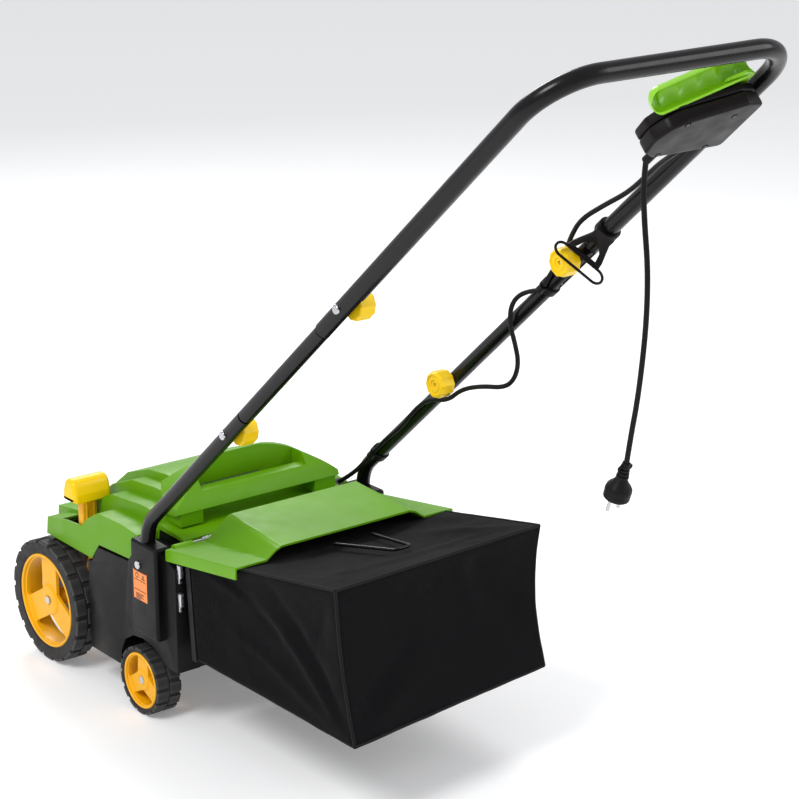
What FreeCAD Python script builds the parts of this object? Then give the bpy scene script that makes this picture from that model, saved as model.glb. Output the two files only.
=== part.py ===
import FreeCAD, Part
import os
import re
from math import cos, pi, radians, sin, tan
import Sketcher

# An electric lawn dethatcher. Millimetres, +Z up. +X is the operator's left, +Y points back
# towards the operator, and the origin is on the ground below the middle of the whole machine.
# Lengths along Y below count from the front axle, whose own place is front_axle_y.

doc = FreeCAD.newDocument("dethatcher")
sheet = doc.addObject("Spreadsheet::Sheet", "Dim")

SIZES = {
    # wheels and axles
    "front_axle_y": -547.7, "front_wheel_r": 100.0, "front_rim_r": 77.0, "front_wheel_in": 176.0,
    "front_wheel_w": 38.0, "rear_wheel_r": 54.0, "rear_rim_r": 44.5, "rear_wheel_in": 166.0,
    "rear_wheel_w": 42.0, "wheelbase": 267.0, "axle_r": 6.0, "run_gap": 0.05, "hub_r": 15.0,
    "spoke_t": 12.0, "spoke_w": 16.0, "spoke_in": 8.0,
    # height adjustment: the crank's cross rod, and the lever above it
    "crank_y": 45.0, "crank_z": 130.0, "lever_x": 176.0, "lever_y": 80.0, "lever_foot_z": 214.0,
    "lever_neck_z": 289.0, "lever_top_z": 327.0, "lever_w": 28.0, "lever_cap_w": 68.0, "lever_cap_d": 38.0,
    # deck
    "deck_half": 160.0, "pod_half": 199.0, "post_half": 214.5, "deck_front": -60.0, "deck_rear": 363.0,
    "deck_floor": 57.0, "deck_wall": 3.0, "reel_y": 100.0, "reel_z": 67.0, "reel_tip_r": 60.0,
    "chamber_r": 70.0, "motor_y": 150.0, "motor_z": 232.0, "motor_r": 42.0, "motor_len": 150.0,
    "belt_x": -149.0, "belt_w": 8.0, "reel_pulley_r": 26.0, "motor_pulley_r": 13.0,
    # hood
    "hood_half": 197.0, "step_b_half": 160.0, "step_c_half": 128.0, "dome_half": 150.0,
    "skin": 3.0, "grip_y": 276.0, "grip_z": 331.0,
    # rear flap
    "flap_half": 199.0, "flap_hinge_y": 338.0, "flap_hinge_z": 288.0, "flap_rear_y": 521.0,
    "flap_rear_z": 316.0,
    # handle tubes: centre plane, bends, joint bolts, top corner
    "tube_x": 201.0, "slope": 42.0, "elbow_y": 298.0, "elbow_z": 319.0, "lower_bolt": 295.3,
    "upper_bolt": 658.2, "top_corner": 1183.8, "tube_r": 11.0, "grip_tube_r": 12.5, "tube_wall": 1.5,
    "top_bend_r": 75.0, "lap_gap": 0.3, "stub_len": 35.0, "tail_len": 52.0, "upper_tail": 60.0,
    "joint_clear": 3.5, "post_foot_z": 205.0, "knob_r": 21.0, "knob_len": 26.0,
    # catcher bag
    "bag_half": 188.0, "bag_front": 372.0, "bag_rear_top": 735.0, "bag_rear_low": 780.0,
    "bag_low_z": 128.0, "bag_front_top": 286.0, "bag_rear_top_z": 352.0, "bag_wall": 4.0,
    # cords
    "motor_cord_d": 7.0, "mains_cord_d": 7.5, "clip_x": -185.5,
}
for row, (name, value) in enumerate(SIZES.items(), start=1):
    sheet.set(f"A{row}", name)
    sheet.set(f"B{row}", str(value))
    sheet.setAlias(f"B{row}", name)
doc.recompute()
V = FreeCAD.Vector
X_AXIS = V(1, 0, 0)
Y_AXIS = V(0, 1, 0)
Z_AXIS = V(0, 0, 1)
NODES = []
counter = [0]


def size(name):
    return float(sheet.get(name))


def formula(text):
    """Turns words that are sheet names into references to the sheet."""
    return re.sub(r"[a-z][a-z_]*", lambda word: f"Dim.{word[0]}" if word[0] in SIZES else word[0], str(text))


def bind(item, **settings):
    for key, text in settings.items():
        item.setExpression(key.replace("_", "."), formula(text))
    return item


def place(item, x="0", y="0", z="0", turn=None):
    """Puts an item at x, y, z, with y counted from the front axle."""
    if turn:
        item.Placement = FreeCAD.Placement(V(0, 0, 0), FreeCAD.Rotation(turn[0], turn[1]))
    item.setExpression("Placement.Base.x", formula(x))
    item.setExpression("Placement.Base.y", formula(f"front_axle_y + ( {y} )"))
    item.setExpression("Placement.Base.z", formula(z))
    return item


def new(kind, stem="piece"):
    counter[0] += 1
    return doc.addObject(kind, f"{stem}{counter[0]}")


def box(x0, x1, y0, y1, z0, z1):
    item = bind(new("Part::Box", "box"), Length=f"( {x1} ) - ( {x0} )", Width=f"( {y1} ) - ( {y0} )",
                Height=f"( {z1} ) - ( {z0} )")
    return place(item, x0, y0, z0)


def bar_x(x0, x1, y, z, radius):
    """A cylinder lying along X."""
    item = bind(new("Part::Cylinder", "bar"), Radius=radius, Height=f"( {x1} ) - ( {x0} )")
    return place(item, x0, y, z, (Y_AXIS, 90))


def ring_x(x0, x1, y, z, outer, inner):
    return cut(bar_x(x0, x1, y, z, outer), bar_x(f"( {x0} ) - 1", f"( {x1} ) + 1", y, z, inner))


def fuse(*items):
    if len(items) == 1:
        return items[0]
    item = new("Part::MultiFuse", "fuse")
    item.Shapes = list(items)
    return item


def cut(base, *tools):
    item = new("Part::Cut", "cut")
    item.Base = base
    item.Tool = fuse(*tools)
    return item


def common(*items):
    item = new("Part::MultiCommon", "common")
    item.Shapes = list(items)
    return item


def group(*items):
    """Separate solids that make one node, such as a set of like fasteners."""
    item = new("Part::Compound", "set")
    item.Links = list(items)
    return item


def mirror_x(source):
    item = new("Part::Mirroring", "mirror")
    item.Source = source
    item.Normal = X_AXIS
    return item


def node(name, item):
    item.Label = name
    NODES.append(item)
    return item


def plane_of(body, role):
    return next(f for f in body.Origin.OriginFeatures if f.Role == role)


def outline(sketch, corners):
    """Closes straight edges through the corners; every corner is tied to the sheet."""
    points = [V(*corner_size(corner), 0) for corner in corners]
    count = len(points)
    for index in range(count):
        sketch.addGeometry(Part.LineSegment(points[index], points[(index + 1) % count]), False)
    for index in range(count):
        sketch.addConstraint(Sketcher.Constraint("Coincident", index, 2, (index + 1) % count, 1))
    for index, corner in enumerate(corners):
        for axis, text, kind in ((0, corner[0], "DistanceX"), (1, corner[1], "DistanceY")):
            value = points[index][axis]
            number = sketch.addConstraint(Sketcher.Constraint(kind, -1, 1, index, 1, value))
            sketch.setExpression(f"Constraints[{number}]", formula(text))


def corner_size(corner):
    return [float(sheet.evalExpression(formula(text))) for text in corner]


def profile_x(x0, x1, corners):
    """A side profile, drawn in Y and Z from the front axle, padded along X from x0 to x1."""
    counter[0] += 1
    body = doc.addObject("PartDesign::Body", f"body{counter[0]}")
    sketch = body.newObject("Sketcher::SketchObject", f"sketch{counter[0]}")
    sketch.AttachmentSupport = (plane_of(body, "YZ_Plane"), [""])
    sketch.MapMode = "FlatFace"
    outline(sketch, corners)
    pad = body.newObject("PartDesign::Pad", f"pad{counter[0]}")
    pad.Profile = sketch
    bind(pad, Length=f"( {x1} ) - ( {x0} )")
    return place(body, x0)


def turned_x(x0, corners, y, z):
    """A body of revolution about an X line: corners are along the axis and out from it."""
    counter[0] += 1
    body = doc.addObject("PartDesign::Body", f"body{counter[0]}")
    sketch = body.newObject("Sketcher::SketchObject", f"sketch{counter[0]}")
    sketch.AttachmentSupport = (plane_of(body, "XZ_Plane"), [""])
    sketch.MapMode = "FlatFace"
    outline(sketch, corners)
    turn = body.newObject("PartDesign::Revolution", f"turn{counter[0]}")
    turn.Profile = sketch
    turn.ReferenceAxis = (sketch, ["H_Axis"])
    turn.Angle = 360
    return place(body, x0, y, z)


def on_slope(item, x, along, above="0", turn=None):
    """Puts an item on the handle's slope: along it from the elbow, and above the tubes' plane."""
    tilt = FreeCAD.Rotation(X_AXIS, size("slope"))
    if turn:
        tilt = tilt.multiply(FreeCAD.Rotation(turn[0], turn[1]))
    item.Placement = FreeCAD.Placement(V(0, 0, 0), tilt)
    rise = f"( {along} ) * sin(slope * 1 deg) + ( {above} ) * cos(slope * 1 deg)"
    back = f"( {along} ) * cos(slope * 1 deg) - ( {above} ) * sin(slope * 1 deg)"
    item.setExpression("Placement.Base.x", formula(x))
    item.setExpression("Placement.Base.y", formula(f"front_axle_y + elbow_y + {back}"))
    item.setExpression("Placement.Base.z", formula(f"elbow_z + {rise}"))
    return item


def slope_bar(x, start, end, radius):
    """A cylinder that runs up the slope."""
    item = bind(new("Part::Cylinder", "rod"), Radius=radius, Height=f"( {end} ) - ( {start} )")
    return on_slope(item, x, start, "0", (X_AXIS, -90))


def slope_box(x0, x1, start, end, low, high):
    item = bind(new("Part::Box", "block"), Length=f"( {x1} ) - ( {x0} )",
                Width=f"( {end} ) - ( {start} )", Height=f"( {high} ) - ( {low} )")
    return on_slope(item, x0, start, low)


def slope_pin(x0, x1, along, radius, above="0"):
    """A cylinder along X that crosses the slope."""
    item = bind(new("Part::Cylinder", "pin"), Radius=radius, Height=f"( {x1} ) - ( {x0} )")
    return on_slope(item, x0, along, above, (Y_AXIS, 90))


# ---- wheels ------------------------------------------------------------------------------

def spoke(outer, y, z, rim, angle):
    """One broad spoke, from the hub out to the rim, at an angle about the axle."""
    item = bind(new("Part::Box", "spoke"), Length="spoke_t", Width=f"{rim} - 2", Height="spoke_w")
    back = f"{y} + 0.5 * spoke_w * {sin(radians(angle)):.4f}"
    down = f"{z} - 0.5 * spoke_w * {cos(radians(angle)):.4f}"
    return place(item, f"{outer} - spoke_in - spoke_t", back, down, (X_AXIS, angle))


def wheel(which, side, y, z, radius, rim, inner, width):
    """A ribbed tyre on a deep three-spoke rim; built on the left and mirrored for the right."""
    outer = f"{inner} + {width}"
    tyre = turned_x(inner, [("0", f"{rim}"), (width, f"{rim}"), (width, f"{radius} - 5"),
                            (f"{width} - 5", radius), ("5", radius), ("0", f"{radius} - 5")], y, z)
    hoop = ring_x(inner, outer, y, z, rim, f"{rim} - 5")
    boss = bar_x(inner, f"{outer} + 1", y, z, "hub_r")
    spokes = [spoke(outer, y, z, rim, 90 + 120 * step) for step in range(3)]
    bore = bar_x(f"{inner} - 1", f"{outer} - 3", y, z, "axle_r + run_gap")
    hub = cut(fuse(hoop, boss, *spokes), bore)
    if side == "right":
        tyre = mirror_x(tyre)
        hub = mirror_x(hub)
    node(f"{which}_tyre_{side}", tyre)
    node(f"{which}_rim_{side}", hub)


for side in ("left", "right"):
    for which, y in (("front", "0"), ("rear", "wheelbase")):
        wheel(which, side, y, f"{which}_wheel_r", f"{which}_wheel_r", f"{which}_rim_r", f"{which}_wheel_in",
              f"{which}_wheel_w")


def fit_pin(x0, x1, y, z):
    """An axle pin of the common radius."""
    return bar_x(x0, x1, y, z, "axle_r")


def rounded(item, radius):
    """Rounds every edge of an item."""
    result = new("Part::Fillet", "round")
    result.Base = item
    doc.recompute()
    count = len(item.Shape.Edges)
    result.Edges = [(index + 1, radius, radius) for index in range(count)]
    return result


def along_wire(points, bend=None):
    """Straight runs joined by tangent arcs; each arc is as large as its two runs allow."""
    points = [V(*point) for point in points]
    edges = []
    start = points[0]
    radii = []
    for before, corner, after in zip(points, points[1:], points[2:]):
        leave = (before - corner).normalize()
        reach = (after - corner).normalize()
        half = 0.5 * (pi - leave.getAngle(reach))
        if bend:
            trim = bend * tan(half)
        else:
            trim = 0.45 * min(before.distanceToPoint(corner), corner.distanceToPoint(after))
        radius = trim / tan(half)
        radii.append(radius)
        first = corner + leave * trim
        last = corner + reach * trim
        inward = (leave + reach).normalize()
        middle = corner + inward * (radius / cos(half) - radius)
        edges.append(Part.LineSegment(start, first).toShape())
        edges.append(Part.Arc(first, middle, last).toShape())
        start = last
    edges.append(Part.LineSegment(start, points[-1]).toShape())
    return Part.Wire(edges), radii


def pipe(name, points, outer_r, inner_r=None, bend=None):
    """A round tube, wire or cord along a route; points are given with y from the front axle."""
    route = [(x, y + size("front_axle_y"), z) for x, y, z in points]
    wire, radii = along_wire(route, bend)
    shapes = []
    for radius in (outer_r, inner_r):
        if radius:
            start = wire.Edges[0]
            tangent = start.tangentAt(start.FirstParameter)
            ring = Part.Wire(Part.Circle(start.valueAt(start.FirstParameter), tangent, radius).toShape())
            shapes.append(wire.makePipeShell([ring], True, False))
    shape = shapes[0].cut(shapes[1]) if inner_r else shapes[0]
    item = doc.addObject("Part::Feature", name)
    item.Shape = shape
    item.Placement = FreeCAD.Placement()
    area = pi * (outer_r ** 2 - (inner_r or 0) ** 2)
    print(f"{name}: length {wire.Length:.0f}, volume ratio {shape.Volume / area / wire.Length:.3f}, "
          f"radii {[round(value) for value in radii]}")
    return item


def slope_point(x, along, above=0.0):
    """A point given by its place on the handle's slope, with y from the front axle."""
    tilt = radians(size("slope"))
    return (x, size("elbow_y") + along * cos(tilt) - above * sin(tilt),
            size("elbow_z") + along * sin(tilt) + above * cos(tilt))


# ---- height adjustment -------------------------------------------------------------------

def crank_arm(x0, x1):
    web = profile_x(x0, x1, [("crank_y - 5", "crank_z + 7"), ("crank_y + 5", "crank_z - 7"),
                             ("5", "front_wheel_r - 7"), ("-5", "front_wheel_r + 7")])
    return [web, bar_x(x0, x1, "crank_y", "crank_z", "9"), bar_x(x0, x1, "0", "front_wheel_r", "9")]


stub_end = "front_wheel_in + front_wheel_w - 4"
left_stub = fit_pin("173", stub_end, "0", "front_wheel_r")
right_stub = mirror_x(fit_pin("173", stub_end, "0", "front_wheel_r"))
node("front_crank_axle", fuse(fit_pin("-173", "173", "crank_y", "crank_z"), *crank_arm("169", "174"),
                              *crank_arm("-174", "-169"), left_stub, right_stub))

blade = profile_x("162", "168", [("crank_y - 10", "crank_z + 2"), ("crank_y + 10", "crank_z + 2"),
                                 ("lever_y + 9", "lever_foot_z + 2"), ("lever_y - 9", "lever_foot_z + 2")])
eye = bar_x("162", "168", "crank_y", "crank_z", "13")
stem = rounded(box("lever_x - 0.5 * lever_w", "lever_x + 0.5 * lever_w", "lever_y - 9", "lever_y + 9",
                   "lever_foot_z", "lever_neck_z + 4"), 3)
cap = rounded(box("lever_x - 0.5 * lever_cap_w", "lever_x + 0.5 * lever_cap_w", "lever_y - 0.5 * lever_cap_d",
                  "lever_y + 0.5 * lever_cap_d", "lever_neck_z", "lever_top_z"), 15)
lever = cut(fuse(blade, eye, stem, cap), bar_x("161", "169", "crank_y", "crank_z", "axle_r + run_gap"))
node("height_lever", lever)

# ---- deck --------------------------------------------------------------------------------

inside = ("-( deck_half - deck_wall )", "deck_half - deck_wall")
deck_block = profile_x("-deck_half", "deck_half", [
    ("deck_front", "deck_floor"), ("deck_front", "205"), ("250", "205"), ("262", "285"), ("332", "280"),
    ("deck_rear", "262"), ("deck_rear", "98"), ("215", "deck_floor")])
nose_room = box(*inside, "deck_front + deck_wall", "reel_y - chamber_r - deck_wall", "50", "206")
chamber = fuse(bar_x(*inside, "reel_y", "reel_z", "chamber_r"),
               box(*inside, "reel_y - chamber_r", "reel_y + chamber_r", "50", "reel_z"))
motor_room = profile_x(*inside, [
    ("reel_y - chamber_r", "143"), ("191", "143"), ("330", "238"), ("330", "274"), ("270", "278"), ("258", "206"),
    ("reel_y - chamber_r", "206")])
belt_slot = box("-157", "-139", "52", "212", "122", "156")
chute = profile_x("-150", "150", [("150", "75"), ("140", "130"), ("190", "138.5"), ("deck_rear + 3", "258"),
                                  ("deck_rear + 3", "103"), ("215", "63")])
PODS = [("114", "deck_floor"), ("203", "deck_floor"), ("204", "80"), ("216", "104"), ("240", "118"),
        ("267", "122"), ("294", "118"), ("318", "104"), ("325", "97"), ("deck_rear", "97"),
        ("deck_rear", "262"), ("334", "274"), ("262", "274"), ("253", "264"), ("232", "237"), ("145", "232"),
        ("124", "203"), ("114", "203")]
pod = profile_x("deck_half - 1", "pod_half", PODS)
pod_room = box("deck_half + deck_wall", "pod_half - deck_wall", "128", "258", "100", "228")
post = rounded(box("186", "post_half", "264", "334", "140", "289"), 5)
TUBE = size("tube_x")
FOOT_Y = 283.0
POCKET = 90.0
foot_lean = (size("elbow_y") - FOOT_Y) / (size("elbow_z") - size("post_foot_z"))
pocket_end = (TUBE, FOOT_Y + POCKET * foot_lean, size("post_foot_z") + POCKET)
pocket_tool = pipe("post_pocket", [(TUBE, FOOT_Y, size("post_foot_z")), pocket_end], size("tube_r") + 0.05)
pockets = [pocket_tool, mirror_x(pocket_tool)]
left_side = fuse(cut(pod, pod_room), post)
axle_lug = bar_x("-deck_half - 3", "deck_half + 3", "wheelbase", "rear_wheel_r", "13")
lug_room = bar_x("-deck_half + 12", "deck_half - 12", "wheelbase", "rear_wheel_r", "14")
hanger = box("147", "deck_half + 1", "255", "279", "56", "95")
axle_bore = bar_x("-170", "170", "wheelbase", "rear_wheel_r", "axle_r")
crank_bore = bar_x("-170", "170", "crank_y", "crank_z", "axle_r + run_gap")
deck = cut(fuse(deck_block, left_side, mirror_x(left_side)), nose_room, chamber, motor_room, chute, belt_slot)
deck = cut(fuse(deck, cut(axle_lug, lug_room), hanger, mirror_x(hanger)), axle_bore, crank_bore, *pockets)
node("deck", deck)
node("rear_axle", bar_x("-( rear_wheel_in + rear_wheel_w - 4 )", "rear_wheel_in + rear_wheel_w - 4",
                        "wheelbase", "rear_wheel_r", "axle_r"))

# ---- hood --------------------------------------------------------------------------------

STEP_A = [("-14", "208"), ("-10", "237"), ("45", "247"), ("92", "251"), ("115", "271"), ("145", "288"),
          ("215", "290"), ("258", "286"), ("258", "272"), ("232", "240"), ("145", "236"), ("122", "207")]
STEP_B = [("-42", "208"), ("-38", "240"), ("43", "252"), ("80", "284"), ("125", "305"), ("211", "313"),
          ("250", "313"), ("262", "297"), ("330", "291"), ("330", "286"), ("262", "288"), ("255", "208")]
STEP_C = [("-52", "208"), ("-48", "244"), ("27", "264"), ("78", "302"), ("137", "325"), ("203", "331"),
          ("246", "331"), ("256", "300"), ("256", "208")]
STEP_D = [("-48", "208"), ("-44", "247"), ("20", "271"), ("78", "315"), ("140", "337"), ("190", "343"),
          ("216", "343"), ("246", "330"), ("256", "300"), ("256", "208")]


def hood_step(half, corners):
    return profile_x(f"-( {half} )", half, corners)


def inner_step(half, corners):
    """The room under one step of the hood, a skin's thickness in from each side and from above."""
    lowered = [(f"{y} * 0.965 + 4.5", f"{z} - skin" if float(z) > 220 else "190") for y, z in corners]
    return profile_x(f"-( {half} - skin )", f"{half} - skin", lowered)


steps = fuse(hood_step("hood_half", STEP_A), hood_step("step_b_half", STEP_B),
             hood_step("step_c_half", STEP_C), hood_step("100", STEP_D))
room = fuse(inner_step("step_b_half", STEP_B[:8] + [("255", "208")]), inner_step("step_c_half", STEP_C),
            inner_step("100", STEP_D))
wing_room = profile_x("deck_half - skin", "hood_half - skin", [
    ("-11", "200"), ("-7", "234"), ("45", "244"), ("92", "248"), ("116", "268"), ("146", "285"),
    ("215", "287"), ("256", "283"), ("256", "200")])
slot = box("deck_half - 0.5", "192", "28", "92", "200", "260")
hood = cut(steps, room, wing_room, mirror_x(wing_room), slot)
node("hood", hood)


# ---- carry handle, plate and sticker -----------------------------------------------------

ring = profile_x("-dome_half", "dome_half", [("216", "344.4"), ("238", "378"), ("252", "381"), ("266", "368"),
                                             ("292", "337"), ("300", "319"), ("290", "314"), ("256.5", "312"),
                                             ("246.4", "331")])
arch = new("Part::Cylinder", "arch")
bind(arch, Radius="230", Height="120")
place(arch, "0", "200", "152", (X_AXIS, -90))
finger_hole = box("-98", "98", "247", "266", "300", "400")
ring_legs = fuse(box("-dome_half + 6", "-104", "257", "298", "297.5", "318"),
                 box("104", "dome_half - 6", "257", "298", "297.5", "318"))
plate_seat = box("-34.3", "74.3", "245.5", "247.1", "331.2", "337.3")
bar_top = box("-97", "97", "247", "310", "343", "400")
node("carry_handle", fuse(cut(common(ring, arch), finger_hole, plate_seat, bar_top), ring_legs))
node("rating_plate", box("-34", "74", "245.8", "246.8", "331.5", "337"))
node("side_sticker", box("post_half", "post_half + 0.4", "272", "309", "196", "242"))

# ---- motor, belt and reel ----------------------------------------------------------------

can = cut(bar_x("-0.5 * motor_len", "0.5 * motor_len", "motor_y", "motor_z", "motor_r"),
          bar_x("-0.5 * motor_len + 4", "0.5 * motor_len - 4", "motor_y", "motor_z", "motor_r - 6"),
          bar_x("-80", "80", "motor_y", "motor_z", "5.05"))
cradle = cut(profile_x("-60", "60", [("114", "143.2"), ("186", "143.2"), ("186", "214"), ("114", "214")]),
             bar_x("-61", "61", "motor_y", "motor_z", "motor_r - 2"),
             box("-52", "52", "100", "200", "147", "230"))
node("motor_housing", fuse(can, cradle))
node("motor_shaft", fuse(bar_x("-156", "98", "motor_y", "motor_z", "5"),
                         bar_x("-50", "50", "motor_y", "motor_z", "30")))
vanes = [box("84", "100", "motor_y - 33", "motor_y + 33", "motor_z - 1.5", "motor_z + 1.5"),
         box("84", "100", "motor_y - 1.5", "motor_y + 1.5", "motor_z - 33", "motor_z + 33")]
fan_disc = bar_x("84", "86", "motor_y", "motor_z", "34")
node("motor_fan", cut(fuse(fan_disc, bar_x("84", "100", "motor_y", "motor_z", "8"), *vanes),
                      bar_x("83", "101", "motor_y", "motor_z", "5.05")))
belt_ends = ("belt_x - 0.5 * belt_w", "belt_x + 0.5 * belt_w")
pulley_ends = ("belt_x - 0.5 * belt_w - 1", "belt_x + 0.5 * belt_w + 1")
node("motor_pulley", ring_x(*pulley_ends, "motor_y", "motor_z", "motor_pulley_r", "5"))
node("reel_pulley", ring_x(*pulley_ends, "reel_y", "reel_z", "reel_pulley_r", "8"))


def belt_loop(grow, ends):
    """The filled outline of an open belt about both pulleys, grown outwards."""
    big = size("reel_pulley_r") + grow
    small = size("motor_pulley_r") + grow
    run_y = size("motor_y") - size("reel_y")
    run_z = size("motor_z") - size("reel_z")
    span = (run_y ** 2 + run_z ** 2) ** 0.5
    lean = (big - small) / span
    flat = (1 - lean ** 2) ** 0.5
    corners = []
    for side, radius, y, z in ((1, big, "reel_y", "reel_z"), (1, small, "motor_y", "motor_z"),
                               (-1, small, "motor_y", "motor_z"), (-1, big, "reel_y", "reel_z")):
        out_y = (lean * run_y + side * flat * run_z) / span
        out_z = (lean * run_z - side * flat * run_y) / span
        corners.append((f"{y} + {radius * out_y:.4f}", f"{z} + {radius * out_z:.4f}"))
    return fuse(profile_x(*ends, corners), bar_x(*ends, "reel_y", "reel_z", f"{big}"),
                bar_x(*ends, "motor_y", "motor_z", f"{small}"))


wide_ends = ("belt_x - belt_w", "belt_x + belt_w")
node("drive_belt", cut(belt_loop(3.0, belt_ends), belt_loop(0.3, wide_ends)))
node("belt_cover", cut(bar_x("-139.5", "-137", "reel_y", "reel_z", "chamber_r - 0.5"),
                       bar_x("-141", "-135", "reel_y", "reel_z", "8.6"),
                       box("-141", "-135", "20", "180", "-10", "20")))
node("reel_shaft", bar_x("-156.5", "156.5", "reel_y", "reel_z", "8"))
node("reel_bearings", group(ring_x("148", "156.9", "reel_y", "reel_z", "16", "8.05"),
                            ring_x("-136.9", "-129", "reel_y", "reel_z", "16", "8.05")))
BLADE_PITCH = 20.0
BLADE_COUNT = 13
BLADE_THICK = 1.8


def blade_plate(index):
    """One four-toothed blade; each is turned a little from the one before."""
    left = -118.0 + BLADE_PITCH * index
    corners = []
    for tooth in range(4):
        turn = radians(90 * tooth + 35 * index)
        for radius, step in ((1.0, 0.0), (0.42, 0.55), (0.42, 1.2)):
            reach = size("reel_tip_r") * radius
            corners.append((f"reel_y + {reach * cos(turn + step):.4f}",
                            f"reel_z + {reach * sin(turn + step):.4f}"))
    plate = profile_x(f"{left}", f"{left + BLADE_THICK}", corners)
    return cut(plate, bar_x(f"{left - 1}", f"{left + 4}", "reel_y", "reel_z", "8.05"))


node("reel_blades", group(*[blade_plate(index) for index in range(BLADE_COUNT)]))
node("reel_spacers", group(*[
    ring_x(f"{-118.0 + BLADE_PITCH * index + BLADE_THICK}", f"{-118.0 + BLADE_PITCH * (index + 1)}",
           "reel_y", "reel_z", "14", "8.05") for index in range(BLADE_COUNT - 1)]))

# ---- rear flap ---------------------------------------------------------------------------

flap_plate = profile_x("-flap_half", "flap_half", [
    ("flap_hinge_y + 2", "flap_hinge_z + 5.5"), ("flap_rear_y", "flap_rear_z"),
    ("flap_rear_y", "flap_rear_z - skin"), ("flap_hinge_y + 2", "flap_hinge_z + 2.5")])
skirt = profile_x("flap_half - skin", "flap_half", [
    ("flap_hinge_y + 4", "flap_hinge_z + 4"), ("flap_rear_y", "flap_rear_z - 1"),
    ("flap_rear_y", "flap_rear_z - 18"), ("flap_hinge_y + 8", "flap_hinge_z - 10")])
RAISED = [("350", "294"), ("388", "341"), ("flap_rear_y", "331.5"), ("flap_rear_y", "312"), ("350", "289")]
HOLLOW = [("354", "288"), ("390", "337.5"), ("flap_rear_y + 4", "328"), ("flap_rear_y + 4", "308"),
          ("354", "284")]
knuckles = [ring_x(x0, x1, "flap_hinge_y", "flap_hinge_z", "6", "2.55")
            for x0, x1 in (("-164", "-140"), ("-60", "-20"), ("20", "60"), ("140", "164"))]
flap = cut(fuse(flap_plate, skirt, mirror_x(skirt), profile_x("-128", "128", RAISED)),
           profile_x("-125", "125", HOLLOW), bar_x("-200", "200", "flap_hinge_y", "flap_hinge_z", "5"))
node("rear_flap", fuse(flap, *knuckles))
node("flap_hinge_rod", bar_x("-184", "184", "flap_hinge_y", "flap_hinge_z", "2.5"))
node("flap_springs", group(ring_x("104", "134", "flap_hinge_y", "flap_hinge_z", "4.6", "2.9"),
                           ring_x("-134", "-104", "flap_hinge_y", "flap_hinge_z", "4.6", "2.9")))

# ---- handle tubes ------------------------------------------------------------------------

lower_route = [(TUBE, FOOT_Y, size("post_foot_z")), (TUBE, size("elbow_y"), size("elbow_z")),
               slope_point(TUBE, size("lower_bolt") + size("tail_len"))]
lower_pipe = pipe("lower_pipe", lower_route, size("tube_r"), size("tube_r") - size("tube_wall"), 60.0)
lower_lap = slope_box("tube_x - 14", "tube_x + lap_gap", "lower_bolt - stub_len - joint_clear",
                      "lower_bolt + tail_len + 5", "-14", "14")
lower_tube = cut(lower_pipe, lower_lap, slope_pin("tube_x - 16", "tube_x + 16", "lower_bolt", "3.05"))
node("lower_tube_left", lower_tube)
node("lower_tube_right", mirror_x(lower_tube))

middle_pipe = cut(slope_bar("tube_x", "lower_bolt - stub_len", "upper_bolt + stub_len", "tube_r"),
                  slope_bar("tube_x", "lower_bolt - stub_len - 1", "upper_bolt + stub_len + 1",
                            "tube_r - tube_wall"))
low_half = ("lower_bolt - stub_len - 1", "lower_bolt + tail_len + joint_clear")
high_half = ("upper_bolt - upper_tail - joint_clear", "upper_bolt + stub_len + 1")
webs = [slope_box("tube_x - lap_gap - tube_wall", "tube_x - lap_gap", "lower_bolt - stub_len",
                  "lower_bolt + tail_len + joint_clear", "-10.6", "10.6"),
        slope_box("tube_x - lap_gap - tube_wall", "tube_x - lap_gap",
                  "upper_bolt - upper_tail - joint_clear", "upper_bolt + stub_len", "-10.6", "10.6")]
middle_tube = cut(fuse(cut(middle_pipe, slope_box("tube_x - lap_gap", "tube_x + 14", *low_half, "-14", "14"),
                           slope_box("tube_x - lap_gap", "tube_x + 14", *high_half, "-14", "14")), *webs),
                  slope_pin("tube_x - 16", "tube_x + 16", "lower_bolt", "3.05"),
                  slope_pin("tube_x - 16", "tube_x + 16", "upper_bolt", "3.05"))
node("middle_tube_left", middle_tube)
node("middle_tube_right", mirror_x(middle_tube))

tail_start = size("upper_bolt") - size("upper_tail")
grip_route = [slope_point(TUBE, tail_start), slope_point(TUBE, size("top_corner")),
              slope_point(-TUBE, size("top_corner")), slope_point(-TUBE, tail_start)]
grip_pipe = pipe("grip_pipe", grip_route, size("grip_tube_r"), size("grip_tube_r") - size("tube_wall"),
                 size("top_bend_r"))
grip_lap = slope_box("tube_x - 14", "tube_x + lap_gap", "upper_bolt - upper_tail - 5",
                     "upper_bolt + stub_len + joint_clear", "-14", "14")
grip_hole = slope_pin("tube_x - 16", "tube_x + 16", "upper_bolt", "3.05")
node("upper_handle_tube", cut(grip_pipe, grip_lap, mirror_x(grip_lap), grip_hole, mirror_x(grip_hole)))


def joint_bolt(along, tube_radius):
    """A domed bolt: its head outside the tube, its thread through to the knob inside."""
    head = rounded(bind_slope_head(along, tube_radius), 1.4)
    shank = slope_pin("tube_x - tube_r - knob_len + 4", f"tube_x + {tube_radius}", along, "3")
    return fuse(head, shank)


def bind_slope_head(along, tube_radius):
    return slope_pin(f"tube_x + {tube_radius} - 0.8", f"tube_x + {tube_radius} + 3", along, "6.5")


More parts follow.
